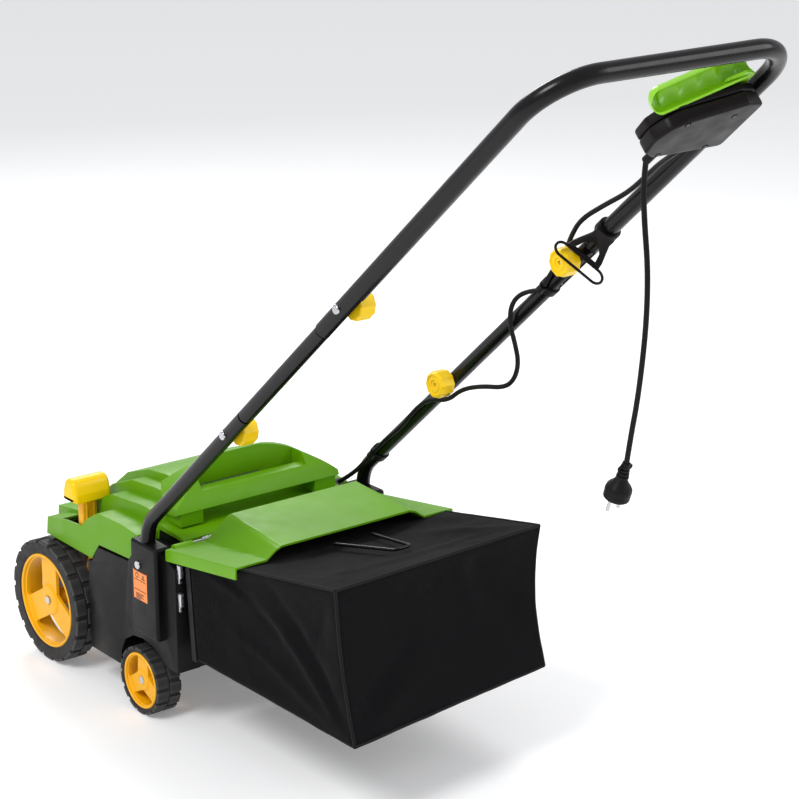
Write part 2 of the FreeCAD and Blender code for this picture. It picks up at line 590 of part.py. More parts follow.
for level, radius in (("lower", "tube_r"), ("upper", "grip_tube_r")):
    bolt = joint_bolt(f"{level}_bolt", radius)
    node(f"{level}_joint_bolts", group(bolt, mirror_x(bolt)))
    prism = bind(new("Part::Prism", "knob"), Circumradius="knob_r", Height="knob_len")
    prism.Polygon = 10
    on_slope(prism, "tube_x - tube_r - 0.6 - knob_len", f"{level}_bolt", "0", (Y_AXIS, 90))
    knob = cut(prism, slope_pin("tube_x - 60", "tube_x", f"{level}_bolt", "3.05"))
    node(f"{level}_knob_left", knob)
    node(f"{level}_knob_right", mirror_x(knob))
post_bolt = rounded(bar_x("post_half - 1", "post_half + 3.5", "287", "252", "6.5"), 1.4)
node("post_bolts", group(post_bolt, mirror_x(post_bolt)))


def cable_clip(along):
    """A band round the right tube with a small loop on its inner side for the motor cable."""
    start = f"{along} - 6"
    end = f"{along} + 6"
    past = (f"{along} - 8", f"{along} + 8")
    band = slope_bar("-tube_x", start, end, "tube_r + 3")
    loop = slope_bar("clip_x", start, end, "6")
    return cut(fuse(band, loop), slope_bar("clip_x", *past, "0.5 * motor_cord_d + 0.2"),
               slope_bar("-tube_x", *past, "tube_r"))


node("lower_cable_clip", cable_clip("54"))
node("upper_cable_clip", cable_clip("581"))

# ---- switch box and its levers -----------------------------------------------------------

def slope_plan(low, high, corners):
    """A plate or block on the slope: corners are X and the distance up the slope."""
    counter[0] += 1
    body = doc.addObject("PartDesign::Body", f"body{counter[0]}")
    sketch = body.newObject("Sketcher::SketchObject", f"sketch{counter[0]}")
    sketch.AttachmentSupport = (plane_of(body, "XY_Plane"), [""])
    sketch.MapMode = "FlatFace"
    outline(sketch, corners)
    pad = body.newObject("PartDesign::Pad", f"pad{counter[0]}")
    pad.Profile = sketch
    bind(pad, Length=f"( {high} ) - ( {low} )")
    return on_slope(body, "0", "0", low)


def slope_peg(x, along, low, high, radius):
    """A cylinder that stands on the slope."""
    item = bind(new("Part::Cylinder", "peg"), Radius=radius, Height=f"( {high} ) - ( {low} )")
    return on_slope(item, x, along, low)


def grown(corners, amount):
    """The same convex outline with every corner moved away from its middle, or towards it."""
    middle_x = sum(float(x) for x, along in corners) / len(corners)
    middle_along = sum(float(along) for x, along in corners) / len(corners)
    result = []
    for x, along in corners:
        reach = ((float(x) - middle_x) ** 2 + (float(along) - middle_along) ** 2) ** 0.5
        share = 1 + amount / reach
        result.append((f"{middle_x + share * (float(x) - middle_x):.2f}",
                       f"{middle_along + share * (float(along) - middle_along):.2f}"))
    return result


# The bail is a trough that turns about a pin at its right end; its own X line starts there.
BAIL_PIN = (-165.0, 1088.0)
BAIL_END = (-165.0, 1133.0, 12.0)
BAIL_SKEW = 17.0
BAIL_DIP = 5.4
BAIL_ROLL = 42.0
BAIL_LONG = 146.0


def bail_piece(kind, x, along, above, **settings):
    """A primitive in the trough's own frame: along its length, and out of its opening."""
    item = bind(new(kind, "bail"), **settings)
    tilt = FreeCAD.Rotation(X_AXIS, size("slope"))
    for axis, angle in ((Z_AXIS, -BAIL_SKEW), (Y_AXIS, BAIL_DIP), (X_AXIS, BAIL_ROLL)):
        tilt = tilt.multiply(FreeCAD.Rotation(axis, angle))
    shift = tilt.multVec(V(x, along, above))
    foot = V(*slope_point(*BAIL_END))
    if kind == "Part::Cylinder":
        tilt = tilt.multiply(FreeCAD.Rotation(Y_AXIS, 90))
    item.Placement = FreeCAD.Placement(foot + shift + V(0, size("front_axle_y"), 0), tilt)
    return item


PLAN = [("-181", "1008"), ("-181", "1106"), ("-152", "1112"), ("-62", "1090"), ("-44", "1079"), ("-33", "1056"),
        ("-38", "1024"), ("-62", "1008")]
lower_room = slope_plan("-32", "-10", grown(PLAN, -4))
lower_shell = cut(slope_plan("-35", "-15", PLAN), lower_room)
upper_room = slope_plan("-20", "-4", grown(PLAN, -4))
bail_room = bail_piece("Part::Cylinder", -20.0, 0.0, 0.0, Radius="20", Height="190")
tube_clamp = cut(slope_bar("-tube_x", "1022", "1064", "grip_tube_r + 4"),
                 slope_bar("-tube_x", "1020", "1066", "grip_tube_r + 0.02"))
bail_pin = slope_peg(f"{BAIL_PIN[0]}", f"{BAIL_PIN[1]}", "-8", "5", "4.95")
bail_head = slope_peg(f"{BAIL_PIN[0]}", f"{BAIL_PIN[1]}", "4.4", "6.4", "7.5")
clamp_web = slope_box("-192", "-178", "1024", "1062", "-12", "-4")
button_wall = slope_peg("-76", "1032", "-14", "-1", "9.5")
upper_shell = cut(slope_plan("-15", "-1", PLAN), upper_room)
upper_shell = cut(fuse(upper_shell, tube_clamp, bail_pin, bail_head, clamp_web, button_wall),
                  slope_peg("-76", "1032", "-13", "0", "7.3"), bail_room,
                  slope_bar("-tube_x", "1020", "1066", "grip_tube_r + 0.02"))
node("switch_box_lower", lower_shell)
node("switch_box_upper", upper_shell)
node("lock_button", slope_peg("-76", "1032", "-8", "4", "7"))
SCREWS = (("-67", "1015"), ("-148", "1015"), ("-144", "1086"), ("-66", "1084"))
node("box_screws", group(*[slope_peg(x, along, "-35.6", "-32.5", "3") for x, along in SCREWS]))

trough = cut(bail_piece("Part::Cylinder", 0.0, 0.0, 0.0, Radius="19", Height=f"{BAIL_LONG}"),
             bail_piece("Part::Cylinder", -2.0, 0.0, 0.0, Radius="16.5", Height=f"{BAIL_LONG + 4}"),
             bail_piece("Part::Box", -2.0, -30.0, -30.0, Length=f"{BAIL_LONG + 4}", Width="60", Height="30"))
far_end = cut(bail_piece("Part::Cylinder", BAIL_LONG - 3, 0.0, 0.0, Radius="19", Height="3"),
              bail_piece("Part::Box", BAIL_LONG - 5, -30.0, -30.0, Length="7", Width="60", Height="30"))
pivot_web = slope_box("-177", "-153", "1076", "1124", "0.5", "3.8")
node("bail_lever", cut(fuse(trough, far_end, pivot_web),
                       slope_peg(f"{BAIL_PIN[0]}", f"{BAIL_PIN[1]}", "0", "6", "5")))

# ---- cord hook on the right upper tube ---------------------------------------------------

HOOK_TURN = -57.3
HOOK_FOOT = 684.0


def hook_point(across, along, out):
    """A point beside the right tube: across the hook's plate, up the slope, and out from the tube."""
    turn = radians(HOOK_TURN)
    return slope_point(-TUBE + across * cos(turn) - out * sin(turn), along, -across * sin(turn) - out * cos(turn))


def hook_plate(corners):
    """A flat plate in front of the tube, turned about it; corners are up the slope and across."""
    plate = profile_x("0", "4", corners)
    x, y, z = hook_point(0, HOOK_FOOT, 18)
    tilt = FreeCAD.Rotation(X_AXIS, size("slope")).multiply(FreeCAD.Rotation(Y_AXIS, HOOK_TURN - 90))
    for axis in "xyz":
        plate.setExpression(f"Placement.Base.{axis}", None)
    plate.Placement = FreeCAD.Placement(V(x, y + size("front_axle_y"), z), tilt)
    return plate


hook_band = slope_bar("-tube_x", "729", "743", "grip_tube_r + 4.5")
yoke = hook_plate([("-3", "-28"), ("-3", "28"), ("10", "26"), ("46", "15"), ("59", "15"), ("59", "-15"),
                   ("46", "-15"), ("10", "-26")])
window = hook_plate([("4", "-18"), ("4", "18"), ("24", "13"), ("34", "5"), ("34", "-5"), ("24", "-13")])
LOOP_CORNERS = [(0, 18.8), (40, 18.8), (40, 43), (-40, 43), (-40, 18.8), (0, 18.8)]
loop_route = [hook_point(across, HOOK_FOOT, out) for across, out in LOOP_CORNERS]
hook_loop = pipe("hook_loop", loop_route, 2.0, None, 11.9)
node("cord_hook", cut(fuse(hook_band, cut(yoke, window), hook_loop),
                      slope_bar("-tube_x", "670", "760", "grip_tube_r + 0.02")))

# ---- cables and cords --------------------------------------------------------------------

# From the gland at the deck, along the right lower tube, round its knob, out in a loose bow and
# back to the clip on the middle tube.
LOWER_CABLE = [
    (-178, 262, 290), (-182, 291, 309), slope_point(-185.5, 34, -1), slope_point(-185.5, 97, 2),
    slope_point(-185.7, 152, -2), slope_point(-185.7, 200, 3), slope_point(-186.2, 243, 0),
    slope_point(-186, 281, -24), slope_point(-184, 325, -27), slope_point(-182, 372, -46),
    slope_point(-181, 418, -73), slope_point(-181, 446, -75), slope_point(-181, 471, -61),
    slope_point(-182, 482, -34), slope_point(-183, 489, -5), slope_point(-184, 512, 16),
    slope_point(-185, 546, 15), slope_point(-185.5, 573.4, 0.8)]
# From that clip over the upper knob's bolt and out in an arch to the end of the switch box.
UPPER_CABLE = [
    slope_point(-185.5, 588.4, 0.4), slope_point(-188, 618, 9.5), slope_point(-197, 648, 19),
    slope_point(-186, 682, 25), slope_point(-176, 725, 28), slope_point(-175, 779, 18),
    slope_point(-174, 832, 6), slope_point(-168, 880, 2), slope_point(-152, 930, -6),
    slope_point(-136, 975, -18), slope_point(-132, 1009.5, -22)]
# From the switch box straight down to the plug.
MAINS_CORD = [
    slope_point(-75, 985, -25), (-76, 1042, 930), (-76, 1046, 882), (-75, 1056, 824), (-74, 1058, 762),
    (-75, 1052, 701), (-76, 1043, 641), (-75.5, 1034.5, 597), (-75, 1028, 556)]
node("motor_cable_lower", pipe("lower_cable", LOWER_CABLE, 0.5 * size("motor_cord_d")))
node("motor_cable_upper", pipe("upper_cable", UPPER_CABLE, 0.5 * size("motor_cord_d")))
node("mains_cord", pipe("cord", MAINS_CORD, 0.5 * size("mains_cord_d")))


def rod_between(name, start, end, radius, bore=None):
    """A straight round piece between two points, with a bore where a cord passes through."""
    item = pipe(name, [start, end], radius, bore)
    return item


def point_on(start, end, share):
    return tuple(a + share * (b - a) for a, b in zip(start, end))


node("cable_gland", rod_between("gland", point_on(LOWER_CABLE[0], LOWER_CABLE[1], -0.55), LOWER_CABLE[0], 6.5))
relief_root = slope_point(-75, 1009.5, -25)
node("cord_relief", rod_between("relief", relief_root, MAINS_CORD[0], 6.0))

plug_top = MAINS_CORD[-1]
plug_way = V(*point_on((0, 0, 0), (0, -28, -83), 1)).normalize()


def along_plug(distance):
    return tuple(a + distance * b for a, b in zip(plug_top, plug_way))


def plug_cone(start, end, r0, r1):
    length = end - start
    item = doc.addObject("Part::Cone", "plug_part")
    bind(item, Radius1=r0, Radius2=r1, Height=length)
    x, y, z = along_plug(start)
    item.Placement = FreeCAD.Placement(V(x, y + size("front_axle_y"), z), FreeCAD.Rotation(Z_AXIS, plug_way))
    return item


node("mains_plug", fuse(plug_cone(0, 26, 5.5, 8.5), plug_cone(26, 40, 8.5, 18.5),
                        plug_cone(40, 56, 18.5, 18.5)))
pins = []
for side in (-9.5, 9.5):
    x, y, z = along_plug(56)
    pin = doc.addObject("Part::Cylinder", "plug_pin")
    bind(pin, Radius="2.4", Height="19")
    pin.Placement = FreeCAD.Placement(V(x + side, y + size("front_axle_y"), z), FreeCAD.Rotation(Z_AXIS, plug_way))
    pins.append(pin)
node("plug_pins", group(*pins))

# ---- catcher bag -------------------------------------------------------------------------

BAG_OUT = [("bag_front + 12", "bag_front_top"), ("bag_rear_top", "bag_rear_top_z"),
           ("bag_rear_low", "bag_low_z"), ("bag_front + 26", "bag_low_z - 4")]
BAG_IN = [("bag_front + 4", "bag_front_top - bag_wall - 1"),
          ("bag_rear_top - bag_wall", "bag_rear_top_z - bag_wall"),
          ("bag_rear_low - bag_wall", "bag_low_z + bag_wall"), ("bag_front + 16", "bag_low_z - 4 + bag_wall")]
node("bag_mesh", cut(profile_x("-bag_half", "bag_half", BAG_OUT),
                     profile_x("-( bag_half - bag_wall )", "bag_half - bag_wall", BAG_IN)))
frame_out = profile_x("-bag_half", "bag_half", [
    ("bag_front", "bag_front_top"), ("bag_front + 11.5", "bag_front_top"),
    ("bag_front + 25.5", "bag_low_z - 4"), ("bag_front + 14", "bag_low_z - 4")])
frame_in = profile_x("-( bag_half - 12 )", "bag_half - 12", [
    ("bag_front - 3", "bag_front_top - 10"), ("bag_front + 16", "bag_front_top - 10"),
    ("bag_front + 30", "bag_low_z + 8"), ("bag_front + 10", "bag_low_z + 8")])
node("bag_frame", cut(frame_out, frame_in))
WIRE_R = 2.5
bag_top_rise = size("bag_rear_top_z") - size("bag_front_top")
bag_top_slope = bag_top_rise / (size("bag_rear_top") - size("bag_front") - 12)


def on_bag(x, y, lift=3.4):
    """A point just above the bag's sloping top."""
    return (x, y, size("bag_front_top") + bag_top_slope * (y - size("bag_front") - 12) + lift)


node("bag_wire", pipe("top_wire", [on_bag(-34, 534), on_bag(-15, 652), on_bag(15, 652), on_bag(34, 534)],
                      WIRE_R, None, 10.0))

# ---- writing -----------------------------------------------------------------------------

doc.recompute()
bad = [item.Label for item in doc.Objects if "Invalid" in item.State or "Error" in item.State]
assert not bad, bad
os.makedirs("parts", exist_ok=True)
for item in NODES:
    assert not item.Shape.isNull() and item.Shape.isValid(), item.Label
    item.Shape.exportStep(f"parts/{item.Label}.step")
    bounds = item.Shape.BoundBox
    print(f"{item.Label:24s} {len(item.Shape.Solids)} solids, {item.Shape.Volume / 1000:8.1f} cm3, "
          f"x {bounds.XMin:.1f} {bounds.XMax:.1f}, y {bounds.YMin:.1f} {bounds.YMax:.1f}, "
          f"z {bounds.ZMin:.1f} {bounds.ZMax:.1f}")
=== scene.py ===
import bpy
import bmesh
from math import atan2, cos, hypot, pi, radians, sin, sqrt, tan
from mathutils import Matrix, Vector, noise


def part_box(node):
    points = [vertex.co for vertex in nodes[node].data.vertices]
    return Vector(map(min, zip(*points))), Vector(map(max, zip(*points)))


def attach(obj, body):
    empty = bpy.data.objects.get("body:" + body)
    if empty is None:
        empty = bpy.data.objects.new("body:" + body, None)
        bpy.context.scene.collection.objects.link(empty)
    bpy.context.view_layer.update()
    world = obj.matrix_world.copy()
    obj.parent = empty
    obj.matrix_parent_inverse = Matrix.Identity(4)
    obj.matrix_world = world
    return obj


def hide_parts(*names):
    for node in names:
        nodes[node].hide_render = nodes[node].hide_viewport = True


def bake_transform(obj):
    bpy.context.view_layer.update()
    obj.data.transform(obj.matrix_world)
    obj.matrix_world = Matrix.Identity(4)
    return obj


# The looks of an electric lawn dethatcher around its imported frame. Lengths in this script are in
# millimetres, with y counted back from the front axle, until P(), on_slope() or one of the two
# frames below turns them into metres.

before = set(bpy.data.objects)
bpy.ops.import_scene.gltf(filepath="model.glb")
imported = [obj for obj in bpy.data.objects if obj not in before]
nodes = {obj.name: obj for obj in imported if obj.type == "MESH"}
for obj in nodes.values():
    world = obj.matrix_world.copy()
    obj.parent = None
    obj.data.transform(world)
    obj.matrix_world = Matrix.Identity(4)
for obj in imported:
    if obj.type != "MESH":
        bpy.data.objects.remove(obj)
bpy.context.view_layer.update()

MM = 0.001
tyre_low, tyre_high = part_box("front_tyre_left")
AXLE_Y = 0.5 * (tyre_low.y + tyre_high.y)
SLOPE = radians(42)  # of the handle
ELBOW = (298.0, 319.0)  # y and z where the handle's slope starts


def P(x, y, z):
    """A point of the row frame, in metres."""
    return Vector((x * MM, AXLE_Y + y * MM, z * MM))


def on_slope(x, along, above=0.0):
    """A point by its distance up the handle's slope and above the plane of the tubes."""
    back = ELBOW[0] + along * cos(SLOPE) - above * sin(SLOPE)
    high = ELBOW[1] + along * sin(SLOPE) + above * cos(SLOPE)
    return P(x, back, high)


def slope_frame(x=0.0, along=0.0):
    """A matrix whose own X, Y and Z run across, up and out of the handle's slope, in millimetres."""
    return Matrix.Translation(on_slope(x, along)) @ Matrix.Rotation(SLOPE, 4, "X") @ Matrix.Scale(MM, 4)


def ground_frame(x=0.0, y=0.0, z=0.0):
    """A matrix in millimetres whose axes run along the ground's."""
    return Matrix.Translation(P(x, y, z)) @ Matrix.Scale(MM, 4)


# ---- camera, light and floor -------------------------------------------------------------

def add_camera():
    """The view that the photograph was taken from."""
    data = bpy.data.cameras.new("view")
    data.lens = 112.1
    data.sensor_width = 36.0
    camera = bpy.data.objects.new("view", data)
    camera.location = P(2038.3, 3249.1, 1629.0)
    camera.rotation_euler = (radians(90 - 17.92), 0.0, radians(141.95))
    bpy.context.collection.objects.link(camera)
    bpy.context.scene.camera = camera


LIT_POINT = Vector((0.0, 0.0, 0.4))
AREA_LIGHTS = (("key", (2.6, 0.6, 3.4), 1.6, 84), ("fill", (-2.4, 2.4, 2.2), 2.0, 36),
               ("rim", (-1.2, -2.8, 2.4), 1.4, 46))  # name, place, width in metres and watts


def add_area(name, place, width, power):
    """A round lamp that faces the machine."""
    data = bpy.data.lights.new(name, "AREA")
    data.shape = "DISK"
    data.size = width
    data.energy = power
    lamp = bpy.data.objects.new(name, data)
    lamp.location = Vector(place)
    lamp.rotation_euler = (LIT_POINT - Vector(place)).to_track_quat("-Z", "Y").to_euler()
    bpy.context.collection.objects.link(lamp)


def add_surroundings():
    """A pale room with three lamps and a matt floor that glows a little."""
    world = bpy.data.worlds.new("studio")
    world.use_nodes = True
    sky = world.node_tree.nodes["Background"]
    sky.inputs["Color"].default_value = (0.96, 0.97, 1.0, 1)
    sky.inputs["Strength"].default_value = 0.62
    bpy.context.scene.world = world
    bpy.context.scene.view_settings.view_transform = "Standard"
    for light in AREA_LIGHTS:
        add_area(*light)
    bpy.ops.mesh.primitive_plane_add(size=40, location=(0, 0, -0.0005))
    floor = bpy.context.object
    floor.name = "studio_floor"
    paint = bpy.data.materials.new("studio_floor")
    paint.use_nodes = True
    shader = paint.node_tree.nodes["Principled BSDF"]
    shader.inputs["Base Color"].default_value = (0.93, 0.93, 0.93, 1)
    shader.inputs["Roughness"].default_value = 0.9
    shader.inputs["Emission Color"].default_value = (1, 1, 1, 1)
    shader.inputs["Emission Strength"].default_value = 0.18
    floor.data.materials.append(paint)


# ---- materials ---------------------------------------------------------------------------

class Paint:
    """A material and short ways to add nodes to it."""

    def __init__(self, name, rough=0.5, metal=0.0, **sockets):
        self.material = bpy.data.materials.new(name)
        self.material.use_nodes = True
        self.tree = self.material.node_tree
        self.shader = self.tree.nodes["Principled BSDF"]
        self.shader.inputs["Roughness"].default_value = rough
        self.shader.inputs["Metallic"].default_value = metal
        for socket, value in sockets.items():
            self.shader.inputs[socket.replace("_", " ")].default_value = value
        self.place = self.tree.nodes.new("ShaderNodeTexCoord")

    def node(self, kind, inputs=(), **settings):
        item = self.tree.nodes.new(kind)
        for key, value in settings.items():
            setattr(item, key, value)
        for key, value in dict(inputs).items():
            if isinstance(value, bpy.types.NodeSocket):
                self.tree.links.new(value, item.inputs[key])
            else:
                item.inputs[key].default_value = value
        return item

    def noise(self, scale, detail=3.0, rough=0.5):
        inputs = {"Vector": self.place.outputs["Object"], "Scale": scale, "Detail": detail, "Roughness": rough}
        return self.node("ShaderNodeTexNoise", inputs).outputs["Fac"]

    def spread(self, value, low, high, new_low=0.0, new_high=1.0):
        inputs = {"Value": value, "From Min": low, "From Max": high, "To Min": new_low, "To Max": new_high}
        return self.node("ShaderNodeMapRange", inputs).outputs["Result"]

    def mix(self, share, first, second):
        item = self.tree.nodes.new("ShaderNodeMix")
        item.data_type = "RGBA"
        self.tree.links.new(share, item.inputs["Factor"])
        for socket, value in ((item.inputs[6], first), (item.inputs[7], second)):
            if isinstance(value, bpy.types.NodeSocket):
                self.tree.links.new(value, socket)
            else:
                socket.default_value = (*value, 1)
        return item.outputs[2]

    def colour(self, value):
        self.tree.links.new(value, self.shader.inputs["Base Color"])

    def roughness(self, value, low, high):
        self.tree.links.new(self.spread(value, 0.3, 0.7, low, high), self.shader.inputs["Roughness"])

    def bump(self, height, strength, distance):
        item = self.node("ShaderNodeBump", {"Height": height, "Strength": strength, "Distance": distance})
        self.tree.links.new(item.outputs["Normal"], self.shader.inputs["Normal"])

    def edges(self):
        """Large where the surface turns sharply outwards."""
        return self.spread(self.node("ShaderNodeNewGeometry").outputs["Pointiness"], 0.52, 0.62)


def shade(colour, factor):
    """A colour made lighter or darker."""
    return tuple(min(1.0, part * factor) for part in colour)


def moulded(name, colour, rough=0.38, grain=900.0, depth=0.25, edge_highlight=1.25, coat=0.0, gloss=0.5):
    """Moulded plastic: fine spark-eroded grain, faint flow marks and sharp edges painted a little lighter as a
    highlight.
    """
    paint = Paint(name, rough, Coat_Weight=coat, Coat_Roughness=0.2, Specular_IOR_Level=gloss)
    flow = paint.noise(9.0, 5.0, 0.6)
    tone = paint.mix(flow, shade(colour, 0.90), shade(colour, 1.08))
    # Sharp outward edges are painted lighter than the faces: a painted highlight along them.
    paint.colour(paint.mix(paint.edges(), tone, shade(colour, edge_highlight)))
    paint.roughness(paint.noise(38.0, 4.0), rough - 0.06, rough + 0.08)
    paint.bump(paint.noise(grain, 2.0), depth, 0.0002)
    return paint.material


def lacquer(name, colour):
    """Powder coat on steel tube: a soft orange-peel surface under a satin gloss."""
    paint = Paint(name, 0.26, Specular_IOR_Level=0.2, Coat_Weight=0.12, Coat_Roughness=0.08)
    paint.colour(paint.mix(paint.noise(14.0), shade(colour, 0.8), shade(colour, 1.25)))
    paint.roughness(paint.noise(60.0), 0.20, 0.32)
    paint.bump(paint.noise(420.0, 1.5), 0.18, 0.0003)
    return paint.material


def bare_metal(name, colour, rough):
    """Plated or ground steel with fine turning marks."""
    paint = Paint(name, rough, 1.0)
    across = {"Vector": paint.place.outputs["Object"], "Scale": (8.0, 1.0, 1.0)}
    stretched = paint.node("ShaderNodeMapping", across).outputs["Vector"]
    marks = paint.node("ShaderNodeTexNoise", {"Vector": stretched, "Scale": 260.0,
                                              "Detail": 2.0}).outputs["Fac"]
    paint.colour(paint.mix(paint.noise(25.0), shade(colour, 0.85), shade(colour, 1.1)))
    paint.roughness(marks, rough * 0.7, rough * 1.5)
    paint.bump(marks, 0.08, 0.0002)
    return paint.material


def tyre_rubber(name):
    """Hard tread: matt black with dust in the grain and lug edges painted paler as a highlight."""
    paint = Paint(name, 0.55, Specular_IOR_Level=0.16)
    dusty = paint.spread(paint.noise(22.0, 6.0, 0.65), 0.45, 0.75)
    tone = paint.mix(dusty, (0.007, 0.007, 0.0075), (0.016, 0.0155, 0.0155))
    # The lug edges are painted paler: a painted highlight, not scuffing.
    paint.colour(paint.mix(paint.edges(), tone, (0.06, 0.058, 0.057)))
    paint.roughness(paint.noise(70.0), 0.45, 0.7)
    paint.bump(paint.noise(650.0, 3.0), 0.35, 0.0003)
    return paint.material


def sheath(name):
    """A cable's sheath: soft black with slight drawing marks."""
    paint = Paint(name, 0.5, Specular_IOR_Level=0.14)
    paint.colour(paint.mix(paint.noise(30.0), (0.0048,) * 3, (0.0084,) * 3))
    paint.roughness(paint.noise(45.0), 0.4, 0.58)
    paint.bump(paint.noise(500.0), 0.2, 0.0002)
    return paint.material


def mesh_cloth(name):
    """Open black polyester mesh: a square weave that lets some of what is behind show through."""
    paint = Paint(name, 0.75, Sheen_Weight=0.02, Sheen_Roughness=0.4, Specular_IOR_Level=0.08)
    weave = []
    for axis in "XYZ":
        wave = paint.node("ShaderNodeTexWave", {"Vector": paint.place.outputs["Object"], "Scale": 760.0},
                          wave_type="BANDS", bands_direction=axis)
        weave.append(wave.outputs["Fac"])
    threads = paint.node("ShaderNodeMath", {0: weave[0], 1: weave[1]}, operation="MAXIMUM").outputs[0]
    threads = paint.node("ShaderNodeMath", {0: threads, 1: weave[2]}, operation="MAXIMUM").outputs[0]
    folds = paint.noise(7.0, 5.0, 0.6)
    paint.colour(paint.mix(folds, (0.002, 0.0018, 0.0023), (0.006, 0.0055, 0.0065)))
    paint.bump(threads, 0.3, 0.0004)
    cover = paint.spread(folds, 0.38, 0.68, 0.99, 0.82)
    paint.tree.links.new(cover, paint.shader.inputs["Alpha"])
    return paint.material


def woven_tape(name):
    """Close black webbing that binds the bag's edges."""
    paint = Paint(name, 0.8, Sheen_Weight=0.05, Specular_IOR_Level=0.15)
    wave = paint.node("ShaderNodeTexWave", {"Vector": paint.place.outputs["Object"], "Scale": 190.0,
                                            "Distortion": 1.0}, bands_direction="DIAGONAL").outputs["Fac"]
    paint.colour(paint.mix(wave, (0.003, 0.003, 0.0035), (0.010, 0.010, 0.011)))
    paint.bump(wave, 0.6, 0.0005)
    return paint.material


LIME = (0.12, 0.325, 0.001)
BRIGHT_LIME = (0.24, 0.58, 0.005)
YELLOW = (0.92, 0.60, 0.0)
# On the lever stem this orange stands as painted shade of the cap's yellow plastic.
ORANGE = (0.90, 0.44, 0.003)
PAINTS = {
    "lime": moulded("lime_plastic", LIME, 0.42, 700.0, 0.3, 1.15, 0.0, 0.25),
    "bail": moulded("bail_green", BRIGHT_LIME, 0.34, 900.0, 0.15, 1.25, 0.2),
    "yellow": moulded("yellow_plastic", YELLOW, 0.36, 900.0, 0.15, 1.05, 0.05, 0.3),
    "rim": moulded("orange_rim", ORANGE, 0.38, 900.0, 0.15, 1.1, 0.05, 0.3),
    "black": moulded("black_plastic", (0.004, 0.004, 0.0045), 0.40, 600.0, 0.3, 2.0, 0.0, 0.15),
    "charcoal": moulded("charcoal_plastic", (0.006, 0.0045, 0.0048), 0.38, 800.0, 0.3, 1.9, 0.0, 0.15),
    "grey": moulded("grey_plastic", (0.17, 0.17, 0.18), 0.5),
    "tube": lacquer("black_tube", (0.0035, 0.0033, 0.004)),
    "zinc": bare_metal("zinc_steel", (0.62, 0.62, 0.64), 0.32),
    "chrome": bare_metal("chrome_bolt", (0.55, 0.55, 0.57), 0.16),
    "oxide": bare_metal("oxide_screw", (0.05, 0.05, 0.052), 0.38),
    "iron": bare_metal("copper_iron", (0.35, 0.24, 0.17), 0.45),
    "silver": bare_metal("plate_silver", (0.80, 0.80, 0.78), 0.35),
    "tyre": tyre_rubber("tyre_rubber"),
    "sheath": sheath("cord_rubber"),
    "mesh": mesh_cloth("bag_fabric"),
    "tape": woven_tape("bag_tape"),
    "label": moulded("label_orange", (0.90, 0.22, 0.004), 0.35, 500.0, 0.05, 1.0, 0.3),
    "ink": moulded("label_ink", (0.03, 0.012, 0.005), 0.45, 500.0, 0.05, 1.0),
}
SLOT_OF = {"lime": "lime_plastic", "bail": "bail_green", "yellow": "yellow_plastic", "rim": "orange_rim",
           "black": "black_plastic", "charcoal": "charcoal_plastic", "grey": "grey_plastic",
           "tube": "black_tube", "zinc": "zinc_steel", "chrome": "chrome_bolt", "tyre": "tyre_rubber",
           "sheath": "cord_rubber", "mesh": "bag_fabric", "tape": "bag_fabric", "label": "label_orange",
           "ink": "label_orange", "silver": "plate_silver", "iron": "copper_iron"}
PAINT_OF = {slot: paint for paint, slot in SLOT_OF.items() if paint not in ("tape", "ink")}

# ---- making meshes -----------------------------------------------------------------------


def add_piece(name, mesh, paint, body, stands_for=(), smooth=35):
    """Links a mesh that is already in the row frame, and gives it its paint and body."""
    piece = bpy.data.objects.new(name, mesh)
    bpy.context.collection.objects.link(piece)
    mesh.materials.clear()
    mesh.materials.append(PAINTS[paint])
    mesh.shade_smooth()
    mesh.set_sharp_from_angle(angle=radians(smooth))
    if body:
        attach(piece, body)
    if stands_for:
        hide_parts(*stands_for)
    return piece


def from_bmesh(name, form, matrix=Matrix.Identity(4)):
    """A mesh from a form with its faces turned outwards, moved by the matrix."""
    bmesh.ops.recalc_face_normals(form, faces=form.faces)
    form.transform(matrix)
    mesh = bpy.data.meshes.new(name)
    form.to_mesh(mesh)
    form.free()
    return mesh


def bridge(form, rings):
    """Faces from each ring of vertices to the next, and over both ends."""
    for ring, following in zip(rings, rings[1:]):
        for k in range(len(ring)):
            after = (k + 1) % len(ring)
            form.faces.new((ring[k], ring[after], following[after], following[k]))
    form.faces.new(rings[0])
    form.faces.new(list(reversed(rings[-1])))


def evaluated(holder):
    """The mesh of an object after its modifiers."""
    bpy.context.view_layer.update()
    return bpy.data.meshes.new_from_object(holder.evaluated_get(bpy.context.evaluated_depsgraph_get()))


def rounded_corners(corners, steps=5):
    """Replaces each corner (a, b, radius) of a closed outline by an arc of that radius."""
    result = []
    count = len(corners)
    for index, (a, b, radius) in enumerate(corners):
        here = Vector((a, b))
        before = Vector(corners[index - 1][:2]) - here
        after = Vector(corners[(index + 1) % count][:2]) - here
        turn = before.angle(after)
        if radius <= 0 or turn > radians(178):
            result.append(here)
            continue
        trim = min(radius / tan(turn / 2), 0.48 * before.length, 0.48 * after.length)
        reach = trim * tan(turn / 2)
        centre = here + (before.normalized() + after.normalized()).normalized() * hypot(trim, reach)
        first = here + before.normalized() * trim - centre
        last = here + after.normalized() * trim - centre
        sweep = first.angle_signed(last)
        for step in range(steps + 1):
            turned = Matrix.Rotation(-sweep * step / steps, 2) @ first
            result.append(centre + turned)
    return result


